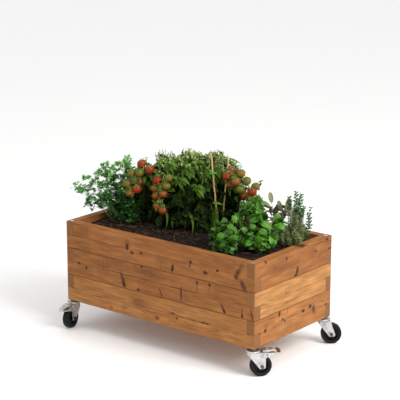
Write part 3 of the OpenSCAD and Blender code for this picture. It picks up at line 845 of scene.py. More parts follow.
def make_parsley(rng):
    leaves, stems = Growth(), Growth()
    root = bed(-455, -60, 0)
    tufts = [(bed(*at), (bed(*at) - root).normalized(), 1.0, 9) for at in SPRIGS]
    tufts += [(at, out, rng.uniform(0.5, 1.0), 8) for at, out in shell("parsley", 114, rng, 30, (0, 14))]
    tufts += [(at, out, rng.uniform(0.15, 0.5), 8) for at, out in shell("parsley", 70, rng, 14, (18, 42))]
    tufts += [(bed(rng.uniform(-500, -345), rng.uniform(-110, 10), rng.uniform(8, 115)), UP,
               rng.uniform(0.0, 0.40), 8) for _ in range(105)]
    for n, (at, out, light, count) in enumerate(tufts):
        foot = root + Vector((rng.uniform(-0.06, 0.07), rng.uniform(-0.05, 0.06), -0.003))
        # light is painted light and shade: tufts sunk deeper in the plant start darker, and every tuft grows lighter
        # with height
        light = clamped(light * (0.26 + 2.4 * (at.z - SOIL_Z)))
        if n % 9 == 0 or n < len(SPRIGS):
            stems.tube(arc(foot, at, UP * 0.05 + jitter(rng, 0.02), 6), 0.0012, 0.0006, light * 0.8, 5)
        for _ in range(count):
            way = (out * 0.5 + UP * 0.25 + jitter(rng, 0.9)).normalized()
            size = rng.uniform(0.014, 0.025)
            base = at + way * rng.uniform(0.002, 0.014)
            stems.tube([at, base], 0.0008, 0.0006, light, 4)
            leaves.fan(base, way, UP + out * 0.4 + jitter(rng, 0.6), size,
                       clamped(light + rng.uniform(-0.3, 0.3)), 5, 0.35, rng)
    place("parsley", "parsley", leaves, stems)


def spray(leaves, stems, base, ahead, facing, length, size, tone, rng):
    """A compound leaf: a thin stalk with pairs of leaflets and one at its tip."""
    side = ahead.cross(facing).normalized()
    facing = side.cross(ahead).normalized()
    points = arc(base, base + ahead * length - UP * length * 0.22, facing * length * 0.1, 4)
    stems.tube(points, 0.0014, 0.0008, tone, 4)
    for at in points[1:4]:
        for s in (-1, 1):
            way = (side * s + ahead * rng.uniform(0.3, 0.8) - UP * rng.uniform(0.1, 0.6)).normalized()
            scale = size * rng.uniform(0.75, 1.1)
            leaves.blade(at, way, facing + jitter(rng, 0.25), scale, scale * 0.58, toothed,
                         tone * rng.uniform(0.8, 1.1), rng.uniform(0.1, 0.4), rng.uniform(0.3, 1.1), 5,
                         rng.uniform(-0.5, 0.5))
    leaves.blade(points[-1], ahead - UP * 0.4, facing, size * 1.25, size * 0.65, toothed, tone, 0.2, 0.8, 8)


def frill(leaves, stems, base, top, rng, tone, count=8, size=(0.008, 0.015)):
    """A thin growing tip with small curled leaves up its length."""
    stems.tube(arc(base, top, jitter(rng, 0.006), 4), 0.0012, 0.0006, tone, 4)
    for i in range(count):
        at = base.lerp(top, 0.25 + 0.75 * i / (count - 1))
        reach = rng.uniform(*size)
        leaves.blade(at, jitter(rng, 1.0) + UP * 0.35, UP + jitter(rng, 0.6), reach, reach * 0.55, toothed,
                     clamped(tone + rng.uniform(-0.3, 0.25)), 0.35, rng.uniform(0.2, 1.2), 4)


# Of the tomato bush, [x, y, height] in the bed: where it opens into shade, where leaves droop from a growing point,
# its tallest tips as [x, height], and the leaves on its left behind the trusses
HOLLOWS = [
    (-112, 20, 172), (-127, -10, 129), (-41, 20, 137), (-49, -10, 74), (-190, 20, 242), (-4, 30, 115),
    (-75, 10, 200)
]
TUFTS = [
    (-112, 60, 314), (-42, 110, 300), (-213, 40, 329), (-41, 60, 227), (-30, 150, 264), (-248, 10, 277),
    (-133, 30, 260), (66, 212, 197), (74, 200, 234), (-170, 90, 325), (-75, 130, 325), (-262, 60, 305)
]
CREST = [
    (-361, 336), (-340, 344), (-320, 358), (-294, 340), (-270, 350), (-247, 360), (-225, 340), (-200, 352),
    (-161, 386), (-141, 370), (-120, 362), (-102, 356), (-80, 368), (-63, 357), (-40, 366), (-18, 374),
    (8, 362), (33, 374), (52, 362), (70, 350)
]
LEFT_SIDE = [
    (-401, -10, 82), (-342, 0, 101), (-342, 0, 48), (-308, 0, 59), (-351, 20, 150), (-375, -30, 115),
    (-300, 20, 110), (-345, 10, 75), (-340, -10, 200), (-320, -20, 250), (-352, -20, 180), (-300, -5, 290),
    (-325, -10, 225)
]
# Single long leaves: base, direction, upper side, length and width in mm, tone, cup, droop, steps, twist.
# Three trail on the soil, two point out past the right-hand truss, and one lies across the canes
TRAIL, PAST = (-0.2, 0.3, 1), (0, -0.35, 1)
LOOSE_LEAVES = [
    ((-205, -12, 92), (0.75, -0.45, 0.30), TRAIL, 145, 18, 0.36, 0.35, 2.3, 16, 0.5),
    ((-62, 0, 88), (1.0, -0.45, 0.45), TRAIL, 165, 18, 0.36, 0.35, 2.3, 16, 0.5),
    ((-150, 0, 58), (0.4, -0.6, 0.5), TRAIL, 90, 18, 0.36, 0.35, 2.3, 16, 0.5),
    ((50, 178, 360), (1.0, -0.1, 0.16), PAST, 98, 16, 0.85, 0.3, 0.7, 10, 0.0),
    ((48, 180, 352), (0.9, 0.1, -0.1), PAST, 70, 16, 0.85, 0.3, 0.7, 10, 0.0),
    ((36, 78, 150), (1.0, 0.05, 0.12), (0.2, -0.6, 0.7), 68, 17, 0.62, 0.2, 0.5, 10, 0.0),
]

# Grassy shoots round the feet of the canes: how many, where, how far they lean, length, least width and droop
GRASS = [
    (20, (36, 62), (64, 100), 0.12, (0.08, 0.145), 0.006, 0.4),
    (52, (-15, 60), (50, 105), 0.16, (0.07, 0.17), 0.005, 0.5),
]


def openness(at):
    """How lit the bush is at a point: 0 in a hollow, 1 well away from them all."""
    return clamped(min((at - bed(*h)).length for h in HOLLOWS) / 0.060 - 0.55)


def make_tomato(rng):
    """The bush. Its leaves and stems are returned unfinished, because the trusses add to them."""
    leaves, tips, stems = Growth(), Growth(), Growth()
    root = bed(-80, 150, -3)
    for x, y, h, _ in MASSES["tomato"]:
        if x > -280:
            stems.tube(arc(root + jitter(rng, 0.02), bed(x, y, h), jitter(rng, 0.03), 7), 0.0065, 0.0025, 0.2, 7)
    # the inside: long leaves that hang, painted dark as shade and a little lighter towards the top
    for at, out in shell("tomato", 1500, rng, 8, (14, 42)):
        high = rising(at, 210, 120)
        way = out * 0.4 + jitter(rng, 0.8) - UP * (0.5 + 1.2 * high)
        leaves.blade(at, way, out + jitter(rng, 0.4), rng.uniform(0.05, 0.09), rng.uniform(0.018, 0.032), lance,
                     rng.uniform(0.0, 0.10) + 0.25 * high, 0.2, rng.uniform(0.3, 1.0), 4)
    # leaves and sprays over the outside: their tone is painted light, lighter with height and dark in the hollows
    for at, out in shell("tomato", 460, rng, 25, (2, 16)):
        high = rising(at, 180, 160)
        way = out * 0.9 + jitter(rng, 0.8) - UP * rng.uniform(0.0, 0.7)
        leaves.blade(at - out * 0.02, way, out + UP * 0.7 + jitter(rng, 0.45), rng.uniform(0.045, 0.085),
                     rng.uniform(0.026, 0.042), toothed,
                     openness(at) * clamped(0.07 + 0.42 * high * rng.uniform(0.3, 1.3) + rng.uniform(-0.05, 0.10)),
                     0.3, rng.uniform(0.5, 1.6), 10, rng.uniform(-0.5, 0.5))
    for at, out in shell("tomato", 300, rng, 40, (4, 16)):
        high = rising(at, 190, 150)
        ahead = (out * 0.75 + jitter(rng, 0.6) - UP * (0.35 - 0.3 * high)).normalized()
        length = rng.uniform(0.035, 0.065)
        spray(leaves, stems, at - out * (length * 0.6), ahead, (UP * 0.8 + out * 0.5 + jitter(rng, 0.3)).normalized(),
              length, rng.uniform(0.022, 0.036),
              openness(at) * clamped(0.05 + 0.75 * high + rng.uniform(-0.06, 0.16)), rng)
    for tuft in TUFTS:
        centre = bed(*tuft) + Vector((0.004, -0.010, 0))
        for k in range(11):
            angle = math.radians(-200 + 220 * k / 10) + rng.uniform(-0.15, 0.15)
            way = Vector((math.cos(angle), -0.55, 0.55 * math.sin(angle) + 0.25))
            length = rng.uniform(0.050, 0.085)
            leaves.blade(centre, way, Vector((0.1, -0.5, 0.8)) + jitter(rng, 0.2), length,
                         length * rng.uniform(0.26, 0.36), toothed, clamped(rng.uniform(0.28, 0.72)), 0.35,
                         rng.uniform(1.0, 1.9), 12, rng.uniform(-0.3, 0.3))
    # pale curled tips over the top, a few of them well clear of it; their tone is painted lighter with height, and
    # darker right of the middle of the bed
    for at, out in shell("tomato", 900, rng, 215, (-4, 10)):
        high = rising(at, 215, 110)
        if out.z < -0.35 or rng.random() > 0.25 + high:
            continue
        rise = rng.uniform(0.008, 0.020)
        frill(tips, stems, at - out * 0.012, at + out * rise * 0.6 + UP * rise * 0.5 + jitter(rng, 0.008), rng,
              clamped(0.12 + 0.75 * high + rng.uniform(-0.25, 0.25) - (0.28 if at.x > MID.x - 0.06 else 0.0)))
    for x, h in CREST:
        top = bed(x, 120, h)
        for _ in range(4):
            frill(tips, stems, top + Vector((0.01, -0.005, -0.055)), top + jitter(rng, 0.011), rng,
                  rng.uniform(0.3, 0.9), 8, (0.008, 0.015))
    # their tone is painted lighter with height
    for x, y, h in LEFT_SIDE:
        for _ in range(12):
            leaves.blade(bed(x, y, h) + jitter(rng, 0.03), jitter(rng, 1.0) - UP * 0.3, UP + jitter(rng, 0.7),
                         rng.uniform(0.035, 0.06), rng.uniform(0.018, 0.030), toothed,
                         clamped(rng.uniform(0.0, 0.20) + 0.0012 * (h - 110)), 0.3, 0.8, 8)
    for base, way, face, length, width, tone, cup, droop, steps, twist in LOOSE_LEAVES:
        leaves.blade(bed(*base), Vector(way), Vector(face), length * MM, width * MM, lance, tone, cup, droop, steps,
                     twist)
    for count, xs, ys, lean, lengths, thin, droop in GRASS:
        for _ in range(count):
            foot = bed(rng.uniform(*xs), rng.uniform(*ys), -2)
            leaves.blade(foot, UP + jitter(rng, lean), jitter(rng, 1.0), rng.uniform(*lengths),
                         rng.uniform(thin, 0.012), lance, rng.uniform(0.30, 0.72), 0.3, rng.uniform(-0.3, droop), 9)
    # broad leaves over the front of the bush, painted dark as its shade
    for at, out in shell("tomato", 520, rng, 40, (-10, 4)):
        length = rng.uniform(0.055, 0.085)
        way = out * 0.35 + jitter(rng, 0.7) - UP * 0.7
        tone = rng.uniform(-0.10, 0.13)
        if out.y < -0.1 and at.z < SOIL_Z + 0.225:
            leaves.blade(at - out * 0.006, way, out + Vector((0.3, -0.5, 0.4)) + jitter(rng, 0.25), length,
                         length * 0.5, ovate, tone, 0.25, 0.8, 8)
    return leaves, tips, stems


# The fruit of each truss: [x, y, height, radius] in mm in the bed, as the CAD model has them, and ripeness.
# The visible fruit is larger by PLUMP
PLUMP = 1.13
TRUSSES = {
    "tomato_truss_left": [
        (-308, -62, 325, 21, 0.80), (-269, -45, 298, 22, 0.92), (-311, -75, 282, 21, 0.10),
        (-351, -90, 276, 20, 0.05), (-371, -105, 221, 20, 0.18), (-314, -62, 234, 18, 0.85),
        (-319, -88, 196, 22, 1.0), (-347, -112, 175, 17, 0.45), (-340, -84, 244, 15, 0.1)],
    "tomato_truss_middle": [
        (-223, -40, 247, 21, 0.9), (-238, -46, 206, 18, 0.4), (-166, -36, 226, 20, 0.1),
        (-227, -48, 168, 19, 0.5), (-185, -42, 184, 20, 0.45), (-155, -30, 268, 17, 0.25),
        (-218, -50, 113, 18, 0.55), (-182, -46, 98, 20, 0.6), (-200, -42, 205, 15, 0.1),
        (-205, -46, 140, 15, 0.15)],
    "tomato_truss_right": [
        (101, 112, 290, 21, 0.92), (108, 140, 316, 19, 0.70), (152, 120, 270, 22, 0.28),
        (160, 150, 306, 21, 0.32), (185, 165, 268, 21, 0.05), (110, 128, 245, 17, 0.55),
        (169, 135, 230, 21, 0.12), (184, 150, 196, 18, 0.60), (223, 160, 219, 22, 0.95),
        (222, 190, 241, 20, 0.08), (130, 128, 285, 15, 0.15), (220, 152, 188, 16, 0.10)],
}


def make_fruit(leaves, stems, rng):
    skin_look = fruit_look("tomato_fruit")
    sepals = Growth()
    for name, fruits in TRUSSES.items():
        truss = Growth()
        centres = [bed(x, y, h) for x, y, h, _, _ in fruits]
        top = centres[0] + Vector((0.012, 0.03, 0.03))
        path = sorted(centres, key=lambda c: -c.z)
        runs = [path[i:i + 3] for i in range(len(path))]
        spine = [top] + [sum(run, Vector()) / len(run) + Vector((0, 0.004, 0)) for run in runs]
        stems.tube(spine, 0.0026, 0.0014, 0.9, 6)
        for at in spine[1:]:
            for _ in range(4):
                away = (jitter(rng, 1.0) + Vector((0, -0.5, 0.2))).normalized()
                frill(sepals, stems, at, at + away * rng.uniform(0.030, 0.044), rng, rng.uniform(0.5, 1.0), 6,
                      (0.007, 0.014))
        for centre in centres:
            for _ in range(4):
                at = centre + jitter(rng, 0.016) + Vector((0, 0.022, 0))
                leaves.blade(at, jitter(rng, 1.0) - UP * 0.3, Vector((0.2, -0.8, 0.5)) + jitter(rng, 0.5),
                             rng.uniform(0.024, 0.046), rng.uniform(0.010, 0.020), toothed,
                             rng.uniform(0.05, 0.75), 0.3, rng.uniform(0.3, 1.2), 8)
        for (_, _, _, r, ripe), centre in zip(fruits, centres):
            axis = (Vector((rng.uniform(-0.4, 0.4), rng.uniform(-0.5, 0.2), 1.0))).normalized()
            radius = r * MM * PLUMP
            truss.ball(centre, radius, axis, ripe)
            crown = centre + axis * radius * 0.80
            nearest = min(spine, key=lambda q: (q - crown).length)
            stems.tube(arc(crown, nearest, UP * 0.006, 3), 0.0012, 0.0014, 0.9, 5)
            stems.tube(arc(crown - axis * 0.002, crown + axis * 0.012 + Vector((0, 0.006, 0.002)),
                           jitter(rng, 0.003), 3), 0.0014, 0.0010, 0.8, 5)
            for k in range(5):
                angle = 2 * math.pi * k / 5 + rng.uniform(-0.2, 0.2)
                flat = axis.orthogonal().normalized()
                out = Matrix.Rotation(angle, 3, axis) @ flat
                sepals.blade(crown + out * 0.0015, out + axis * 0.35, axis - out * 0.2, radius * 0.85, radius * 0.24,
                             lance, rng.uniform(0.6, 1.0), 0.2, 1.0, 4)
        truss.piece(name + "_fruit", skin_look, "tomato_fruit", [name])
    sepals.piece("fruit_sepals", GREENS["sepal"], "tomato_leaf")


# Each cane's foot and top and its tone at either end, and how far up the first cane the tie is
CANES = (((45, 117, -4), (15, 94, 400), 0.30, 0.35), ((40, 150, -4), (66, 171, 370), 0.95, 0.0))
TIE_AT = 0.735


def make_canes():
    canes, tie = Growth(), Growth()
    for foot, top, foot_tone, top_tone in CANES:
        a, b = bed(*foot), bed(*top)
        n = 60
        points = [a.lerp(b, i / n) + Vector((0.0007 * math.sin(i * 0.5), 0.0006 * math.cos(i * 0.7), 0))
                  for i in range(n + 1)]

        def knuckle(t):
            """1 at a node of the bamboo, 0 between nodes."""
            return max(0.0, 1 - abs(((t * 4.3 + 0.35) % 1.0) - 0.5) / 0.035)

        canes.tube(points, lambda t: 0.0046 - 0.0006 * t + 0.0007 * knuckle(t), None,
                   lambda t: foot_tone + (top_tone - foot_tone) * min(1.0, t * 1.5), 12, knuckle)
    canes.piece("canes", cane_look("bamboo"), "bamboo", ["bamboo_stakes"])
    centre = bed(45, 117, 0).lerp(bed(*CANES[0][1]), TIE_AT)
    for k in range(3):
        loop = []
        for i in range(15):
            a = 2 * math.pi * i / 14
            loop.append(centre + Vector((0.0062 * math.cos(a), 0.0062 * math.sin(a),
                                         0.0028 * k + 0.001 * math.sin(a + k))))
        tie.tube(loop, 0.0022, 0.0022, 0.8, 6)
    for way in ((-0.9, -0.4, -0.25), (0.9, -0.4, 0.25), (0.5, -0.4, -0.8), (-0.6, -0.3, 0.5)):
        tie.blade(centre + Vector((0.004, -0.005, 0.003)), Vector(way), Vector((0, -1, 0.2)), 0.026, 0.009,
                  oblong, 0.8, 0.1, 0.8, 6)
    tie.piece("cane_tie", stem_look("tie_green", srgb(64, 120, 26), srgb(104, 168, 40)), "tie")


def rosette(leaves, stems, point, normal, rng, tone):
    """Three crossed pairs of leaves about a shoot tip, from small to large."""
    axis = (UP * 0.9 + normal * 0.6).normalized()
    flat = axis.orthogonal().normalized()
    spin = rng.uniform(0, math.pi)
    stems.tube([point - axis * 0.03, point + axis * 0.004], 0.0018, 0.0012, 0.7, 5)
    for k in range(6):
        level = k // 2
        turn = spin + math.pi * (k % 2) + level * math.pi / 2 + rng.uniform(-0.2, 0.2)
        out = Matrix.Rotation(turn, 3, axis) @ flat
        size = (0.018 + 0.015 * level) * rng.uniform(0.85, 1.15)
        # each lower pair is painted darker, as shade under the pairs above
        leaves.blade(point - axis * (0.008 * level), out + axis * (0.8 - 0.45 * level), axis - out * 0.3,
                     size, size * 0.84, blunt, clamped(tone - 0.12 * level + rng.uniform(-0.15, 0.2)), -0.30, 0.75, 6,
                     0.0, ROUND)


# Basil leaves that stand out: middle, direction to the right and down, length in mm, tone
BASIL_LEAVES = {
    "basil_left": [
        ((296, -198, 80), (-0.8, 0.5), 56, 0.65), ((334, -223, 39), (0, 1), 46, 0.47),
        ((368, -190, 77), (0.1, 1), 44, 0.45), ((309, -95, 150), (0.2, -1), 40, 0.7),
        ((368, -118, 45), (0.3, 1), 46, 0.4), ((327, -152, 130), (-0.7, -0.3), 38, 0.6),
        ((364, -82, 104), (0.7, 0.2), 38, 0.55), ((367, -157, 22), (0.3, 1), 32, 0.35)],
    "basil_right": [
        ((453, -73, 100), (-0.9, 0.4), 60, 0.65), ((457, -101, 68), (-0.3, 1), 54, 0.6),
        ((460, -97, 33), (0, 1), 38, 0.35), ((485, 19, 160), (0.3, 1), 48, 0.65),
        ((497, -19, 77), (0.5, 0.8), 44, 0.4), ((463, -30, 123), (-0.4, -0.5), 40, 0.5),
        ((397, -63, 123), (-0.5, -0.8), 40, 0.55), ((487, -30, 37), (0.5, 0.8), 44, 0.3)],
}


def make_basil(rng):
    for name, count in (("basil_left", 30), ("basil_right", 38)):
        leaves, stems = Growth(), Growth()
        middles = [Vector(m[:2]) for m in MASSES[name]]
        centre = sum(middles, Vector((0, 0))) / len(middles)
        root = bed(centre.x, centre.y, -2)
        for at, out in shell(name, count, rng, 26, (10, 20)):
            stems.tube(arc(root + Vector((rng.uniform(-0.03, 0.03), rng.uniform(-0.02, 0.02), 0)), at, UP * 0.02, 4),
                       0.0026, 0.0016, 0.5, 6)
            # painted light: the rosettes grow brighter with height
            bright = clamped(0.42 + 2.6 * (at.z - SOIL_Z) + rng.uniform(-0.25, 0.15))
            rosette(leaves, stems, at, out, rng, bright)
        # leaves deep in the plant, painted dark as shade
        for at, out in shell(name, 90, rng, 10, (16, 30)):
            size = rng.uniform(0.03, 0.046)
            leaves.blade(at, out + jitter(rng, 0.7), UP + jitter(rng, 0.5), size, size * 0.75, blunt,
                         rng.uniform(0, 0.22), -0.3, 0.7, 6)
        for at, out in shell(name, 34, rng, 26, (0, 8)):
            size = rng.uniform(0.036, 0.056)
            leaves.blade(at - out * 0.012, out * 0.4 + UP * 0.15 + jitter(rng, 0.6),
                         out + UP * 0.5 + jitter(rng, 0.2), size, size * 0.82, blunt, rng.uniform(0.30, 0.82),
                         -0.34, 1.0, 9, 0.0, ROUND)
        for at, (right, down), length, tone in BASIL_LEAVES[name]:
            way = Vector((0.82 * right, 0.57 * right, -down)).normalized()
            size = length * MM
            spot = bed(*at) - way * (size / 2)
            stems.tube(arc(root, spot, UP * 0.02, 4), 0.0022, 0.0014, 0.5, 6)
            leaves.blade(spot, way, Vector((0.5, -0.75, 0.45)), size, size * 0.72, blunt, tone, -0.3, 0.7, 9, 0.0,
                         ROUND)
        place(name, "basil", leaves, stems)


# Shoots that stand clear of the lovage, [x, y, height] in the bed
LOVAGE_TIPS = [
    (182, 140, 136), (206, 150, 158), (235, 150, 172), (262, 150, 188), (285, 150, 180), (184, 130, 105)
]


def make_lovage(rng):
    leaves, stems = Growth(), Growth()
    root = bed(238, 160, -2)
    for n, (at, out) in enumerate(shell("lovage", 135, rng, 20, (-2, 20))):
        # painted light: the leaves grow lighter with height
        high = (at.z - SOIL_Z) / 0.19
        tone = clamped(0.14 + 0.80 * high ** 1.3 + rng.uniform(-0.2, 0.35))
        if n % 4 == 0:
            stems.tube(arc(root + Vector((rng.uniform(-0.02, 0.02), rng.uniform(-0.02, 0.02), 0)), at, UP * 0.03, 5),
                       0.0024, 0.0013, 0.4, 6)
        for _ in range(3):
            way = (out * 0.6 + UP * 0.2 + jitter(rng, 0.8)).normalized()
            stems.tube([at, at + way * 0.009], 0.0009, 0.0008, tone, 4)
            leaves.fan(at + way * 0.008, way, UP * 0.6 + out * 0.8 + jitter(rng, 0.5), rng.uniform(0.020, 0.034),
                       tone, 3, 0.2, rng)
    for at in LOVAGE_TIPS:
        tip = bed(*at)
        stems.tube(arc(root, tip, UP * 0.04, 6), 0.0018, 0.0009, 0.6, 5)
        for _ in range(7):
            way = (UP * 0.4 + jitter(rng, 0.9)).normalized()
            leaves.fan(tip + way * 0.006, way, UP + jitter(rng, 0.6), rng.uniform(0.018, 0.030),
                       rng.uniform(0.45, 1.0), 3, 0.2, rng)
    place("lovage", "lovage", leaves, stems)


# Sage leaves that stand out: base, direction, upper side, length and width in mm, tone, droop
SAGE_LEAVES = [
    ((331, 178, 178), (-0.22, 0, 1), (0.6, -0.8, 0), 54, 25, 0.85, 0.1),
    ((343, 180, 127), (0.1, 0, 1), (-0.9, -0.2, 0.1), 118, 19, 0.10, 2.9),
    ((352, 180, 124), (0.22, 0, 1), (-0.9, -0.2, 0.1), 78, 15, 0.35, 2.9),
    ((424, 188, 146), (0.05, 0, 1), (0.56, -0.8, 0.2), 66, 34, 0.95, 0.2),
    ((410, 186, 136), (0.5, -0.2, 1), (0.56, -0.8, 0.3), 60, 28, 0.75, 0.5),
    ((326, 173, 158), (-0.75, -0.1, 0.5), (0.2, -0.5, 1), 56, 17, 0.8, 0.6),
    ((342, 172, 150), (-0.95, -0.1, 0.25), (0.2, -0.5, 1), 52, 18, 0.08, 0.3),
    ((400, 184, 120), (0.8, -0.2, 0.6), (-0.3, -0.5, 1), 50, 19, 0.4, 0.9),
    ((345, 172, 132), (-0.8, -0.2, 0.1), (0.2, -0.5, 1), 44, 14, 0.1, 0.2),
    ((384, 184, 146), (-0.3, -0.1, 1), (0.56, -0.8, 0.2), 52, 24, 0.55, 0.6),
    ((362, 180, 128), (0.05, -0.1, 1), (0.56, -0.8, 0.2), 46, 18, 0.25, 0.9),
    ((348, 176, 120), (0.35, -0.1, 0.8), (0.3, -0.8, 0.4), 50, 19, 0.12, 0.9),
    ((395, 184, 140), (-0.1, -0.5, 0.8), (0, -0.8, 0.6), 46, 20, 0.6, 0.7)
]


def make_sage(rng):
    leaves, stems = Growth(), Growth()
    root = bed(360, 182, -2)
    for at, way, face, length, width, tone, droop in SAGE_LEAVES:
        stems.tube(arc(root + jitter(rng, 0.008), bed(*at), UP * 0.02, 5), 0.0024, 0.0012, tone * 0.5, 6)
        leaves.blade(bed(*at), Vector(way), Vector(face), length * MM, width * MM, oblong, tone,
                     1.35 if droop > 2 else 0.25, droop, 14, 0.0, BROAD)
    for at, out in shell("sage", 34, rng, 40, (6, 26)):
        stems.tube(arc(root + jitter(rng, 0.012), at, UP * 0.03, 5), 0.0022, 0.0013, 0.2, 6)
        size = rng.uniform(0.032, 0.048)
        leaves.blade(at, out * 0.6 + UP * 0.5 + jitter(rng, 0.5), UP + jitter(rng, 0.4), size, size * 0.40, oblong,
                     rng.uniform(0.0, 0.8), 0.25, rng.uniform(0.4, 1.6), 8, 0.0, BROAD)
    place("sage", "sage", leaves, stems)


def leafy_shoot(leaves, stems, base, top, bow, rng, size, step, wide, tone, start=0.12, facing=UP):
    """An upright shoot with pairs of small leaves up its length."""
    path = arc(base, top, bow, 8)
    stems.tube(path, 0.0013, 0.0007, 0.3, 4)
    whorls = max(5, int((top - base).length / step))
    for k in range(whorls + 1):
        t = start + (1 - start) * k / whorls
        at = path[min(7, int(t * 8))].lerp(path[min(8, int(t * 8) + 1)], min(1.0, t * 8 - min(7, int(t * 8))))
        for s in range(2):
            angle = k * 1.6 + s * math.pi + rng.uniform(-0.4, 0.4)
            way = Vector((math.cos(angle), math.sin(angle), rng.uniform(0.2, 0.9)))
            reach = rng.uniform(*size)
            leaves.blade(at, way, facing, reach, reach * wide, oblong, rng.uniform(*tone), 0.1, 0.3, 3)


# Greener shoots that rise out of the thyme: foot, tip, and where along them the leaves begin
THYME_SPRIGS = [
    ((500, 150), (500, 148, 262), 0.62), ((508, 150), (528, 150, 256), 0.62),
    ((505, 152), (545, 152, 196), 0.7), ((480, 145), (455, 150, 228), 0.72),
    ((498, 150), (512, 146, 232), 0.68), ((540, 180), (556, 188, 186), 0.25),
    ((545, 185), (548, 186, 150), 0.5), ((538, 178), (552, 182, 112), 0.3), ((542, 182), (534, 186, 76), 0.3)
]


def make_thyme(rng):
    leaves, sprigs, stems = Growth(), Growth(), Growth()
    for at, out in shell("thyme", 260, rng, 24, (-6, 14)):
        base = Vector((at.x, at.y, SOIL_Z - 0.002)).lerp(bed(492, 128, -2), 0.4)
        leafy_shoot(leaves, stems, base, at, Vector((out.x, out.y, 0)) * 0.012, rng, (0.007, 0.012), 0.0046, 0.36,
                    (0.15, 1.0))
    for foot, top, start in THYME_SPRIGS:
        leafy_shoot(sprigs, stems, bed(*foot, 10), bed(*top), jitter(rng, 0.016), rng, (0.012, 0.018), 0.0175, 0.66,
                    (0.05, 0.75), start, Vector((0.35, -0.45, 0.75)))
    leaves.piece("thyme_leaves", GREENS["thyme"], "thyme_leaf", ["thyme"])
    sprigs.piece("thyme_sprigs", GREENS["thyme_sprig"], "thyme_leaf")
    stems.piece("thyme_stems", STEMS["thyme"], "stem_green")


# The front left brake: its swivel axis from the middle of the bed, which way its lever points, and where the two
# rivets are along the lever and to the side of its middle
SWIVEL = Vector((-0.578, -0.293, 0))
LEVER_YAW = math.radians(282)
RIVETS = ((0.098, 0.0), (0.045, 0.012))


def make_rivets():
    """Two dark rivets on the wide lever of the front left brake, dropped onto it from above."""
    rivets = Growth()
    lever = frame["nodes"]["brake_lever_front_left"]
    outward = Vector((math.cos(LEVER_YAW), math.sin(LEVER_YAW), 0))
    across = Vector((-outward.y, outward.x, 0))
    for along, aside in RIVETS:
        over = MID + SWIVEL + outward * along + across * aside + UP
        hit, spot, normal, _ = lever.ray_cast(over, -UP)
        if hit:
            rivets.ball(spot, 0.0042, normal, 1.0, 8, 16, 0.45)
    rivets.piece("brake_rivets", FINISHES["dark_steel"], "dark_steel", body="brake_front_left")


# ---------------------------------------------------------------- build

scene = bpy.context.scene
scene.view_settings.view_transform = "Standard"
set_camera()
set_sky()
set_key_light()

floor_mesh = bpy.data.meshes.new("floor")
corners = [(x * FLOOR_R, y * FLOOR_R, 0) for x, y in ((-1, -1), (1, -1), (1, 1), (-1, 1))]
floor_mesh.from_pydata(corners, [], [(0, 1, 2, 3)])
floor_mesh.materials.append(paper("floor"))
floor = bpy.data.objects.new("floor", floor_mesh)
scene.collection.objects.link(floor)

# The dark end of each leaf look is the painted shade that leaves deep in a plant are given
GREENS = {
    "basil": leaf_look("basil_leaf", srgb(5, 32, 2), srgb(88, 154, 36), srgb(120, 176, 66), 0.32, 6.0, 0.3, 0.5, 0.0,
                       0.35),
    "lovage": leaf_look("lovage_leaf", srgb(14, 52, 10), srgb(112, 168, 66), srgb(124, 176, 88), 0.42, 6.0, 0.3, 0.5),
    "sage": leaf_look("sage_leaf", srgb(54, 46, 28), srgb(150, 154, 112), srgb(160, 164, 124), 0.65, 9.0, 0.35, 0.5,
                      0.3),
    "thyme": leaf_look("thyme_leaf", srgb(34, 56, 18), srgb(184, 202, 136), srgb(188, 204, 142), 0.6, 3.0, 0.2, 0.2,
                       0.0),
    "tomato": leaf_look("tomato_leaf", srgb(4, 13, 0), srgb(100, 136, 52), srgb(118, 152, 70), 0.62, 6.0, 0.35, 0.4,
                        0.0, 0.05),
    "tip": leaf_look("tomato_tip", srgb(44, 66, 24), srgb(176, 196, 120), srgb(184, 204, 132), 0.5, 6.0, 0.3, 0.3,
                     0.0, 0.15),
    "parsley": leaf_look("parsley_leaf", srgb(10, 52, 11), srgb(114, 182, 80), srgb(134, 196, 98), 0.45, 5.0, 0.3),
    "thyme_sprig": leaf_look("thyme_sprig", srgb(10, 48, 12), srgb(72, 132, 54), srgb(92, 148, 70), 0.45, 3.0, 0.3),
    "sepal": leaf_look("sepal", srgb(44, 72, 20), srgb(116, 142, 66), srgb(128, 154, 80)),
}
STEMS = {
    "green": stem_look("stem_green", srgb(44, 80, 26), srgb(140, 168, 88)),
    "parsley": stem_look("parsley_stem", srgb(22, 62, 26), srgb(118, 170, 98)),
    "sage": stem_look("sage_stem", srgb(74, 56, 46), srgb(120, 116, 90)),
    "thyme": stem_look("thyme_stem", srgb(78, 80, 52), srgb(122, 136, 96)),
}

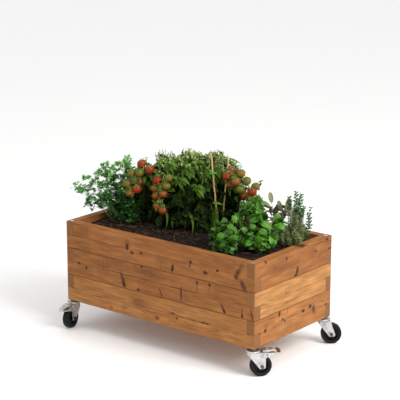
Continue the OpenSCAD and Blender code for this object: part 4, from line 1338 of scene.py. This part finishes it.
boards = [f"{side}_board_{i}" for side in ("front", "back", "left", "right") for i in (1, 2, 3)]
looks = {name: timber(name, n) for n, name in enumerate(boards)}
FINISHES = {
    "floor_timber": plain_timber("floor_timber"),
    "zinc_steel": zinc("zinc_steel", srgb(206, 206, 204), srgb(160, 161, 160), 0.28),
    "cap_steel": turned_cap("cap_steel"),
    "dark_steel": zinc("dark_steel", srgb(104, 104, 106), srgb(64, 64, 66), 0.35),
    "tyre_rubber": rubber("tyre_rubber", srgb(9, 9, 10), srgb(30, 30, 29), 0.55, 0.12),
    "hub_rubber": rubber("hub_rubber", srgb(9, 9, 10), srgb(26, 26, 26), 0.5, 0.1),
    "brake_tip": rubber("brake_tip", srgb(92, 42, 34), srgb(120, 76, 62), 0.45, 0.4),
    "liner_fabric": rubber("liner_fabric", srgb(30, 30, 32), srgb(60, 60, 60), 0.8, 0.3),
}
for row in frame["record"]["subparts"]:
    looks.setdefault(row["node"], FINISHES.get(row["material_slot"]))
# Nodes with eased edges
EDGED = ("front_", "back_", "left_", "right_", "fork", "brake_lever", "brake_tip", "caster_head", "axle_bolt",
         "rod_caps", "nuts_and_collars")
for name, obj in frame["nodes"].items():
    if not looks.get(name):
        continue
    if not obj.material_slots:
        obj.data.materials.append(None)
    for material_slot in obj.material_slots:
        material_slot.link = "OBJECT"
        material_slot.material = looks[name]
    if name.startswith(EDGED):
        bevel = obj.modifiers.new("edge", "BEVEL")
        bevel.width = 0.0006
        bevel.segments = 2
        bevel.limit_method = "ANGLE"
        bevel.angle_limit = math.radians(38)
        bevel.use_clamp_overlap = True

make_rivets()
make_soil(random.Random(1))
make_mulch(random.Random(2))
make_parsley(random.Random(3))
leaves, tips, stems = make_tomato(random.Random(4))
make_fruit(leaves, stems, random.Random(5))
leaves.piece("tomato_leaves", GREENS["tomato"], "tomato_leaf", ["tomato_plant"])
tips.piece("tomato_tips", GREENS["tip"], "tomato_leaf")
stems.piece("tomato_stems", STEMS["green"], "stem_green")
make_canes()
make_basil(random.Random(7))
make_lovage(random.Random(8))
make_sage(random.Random(9))
make_thyme(random.Random(10))
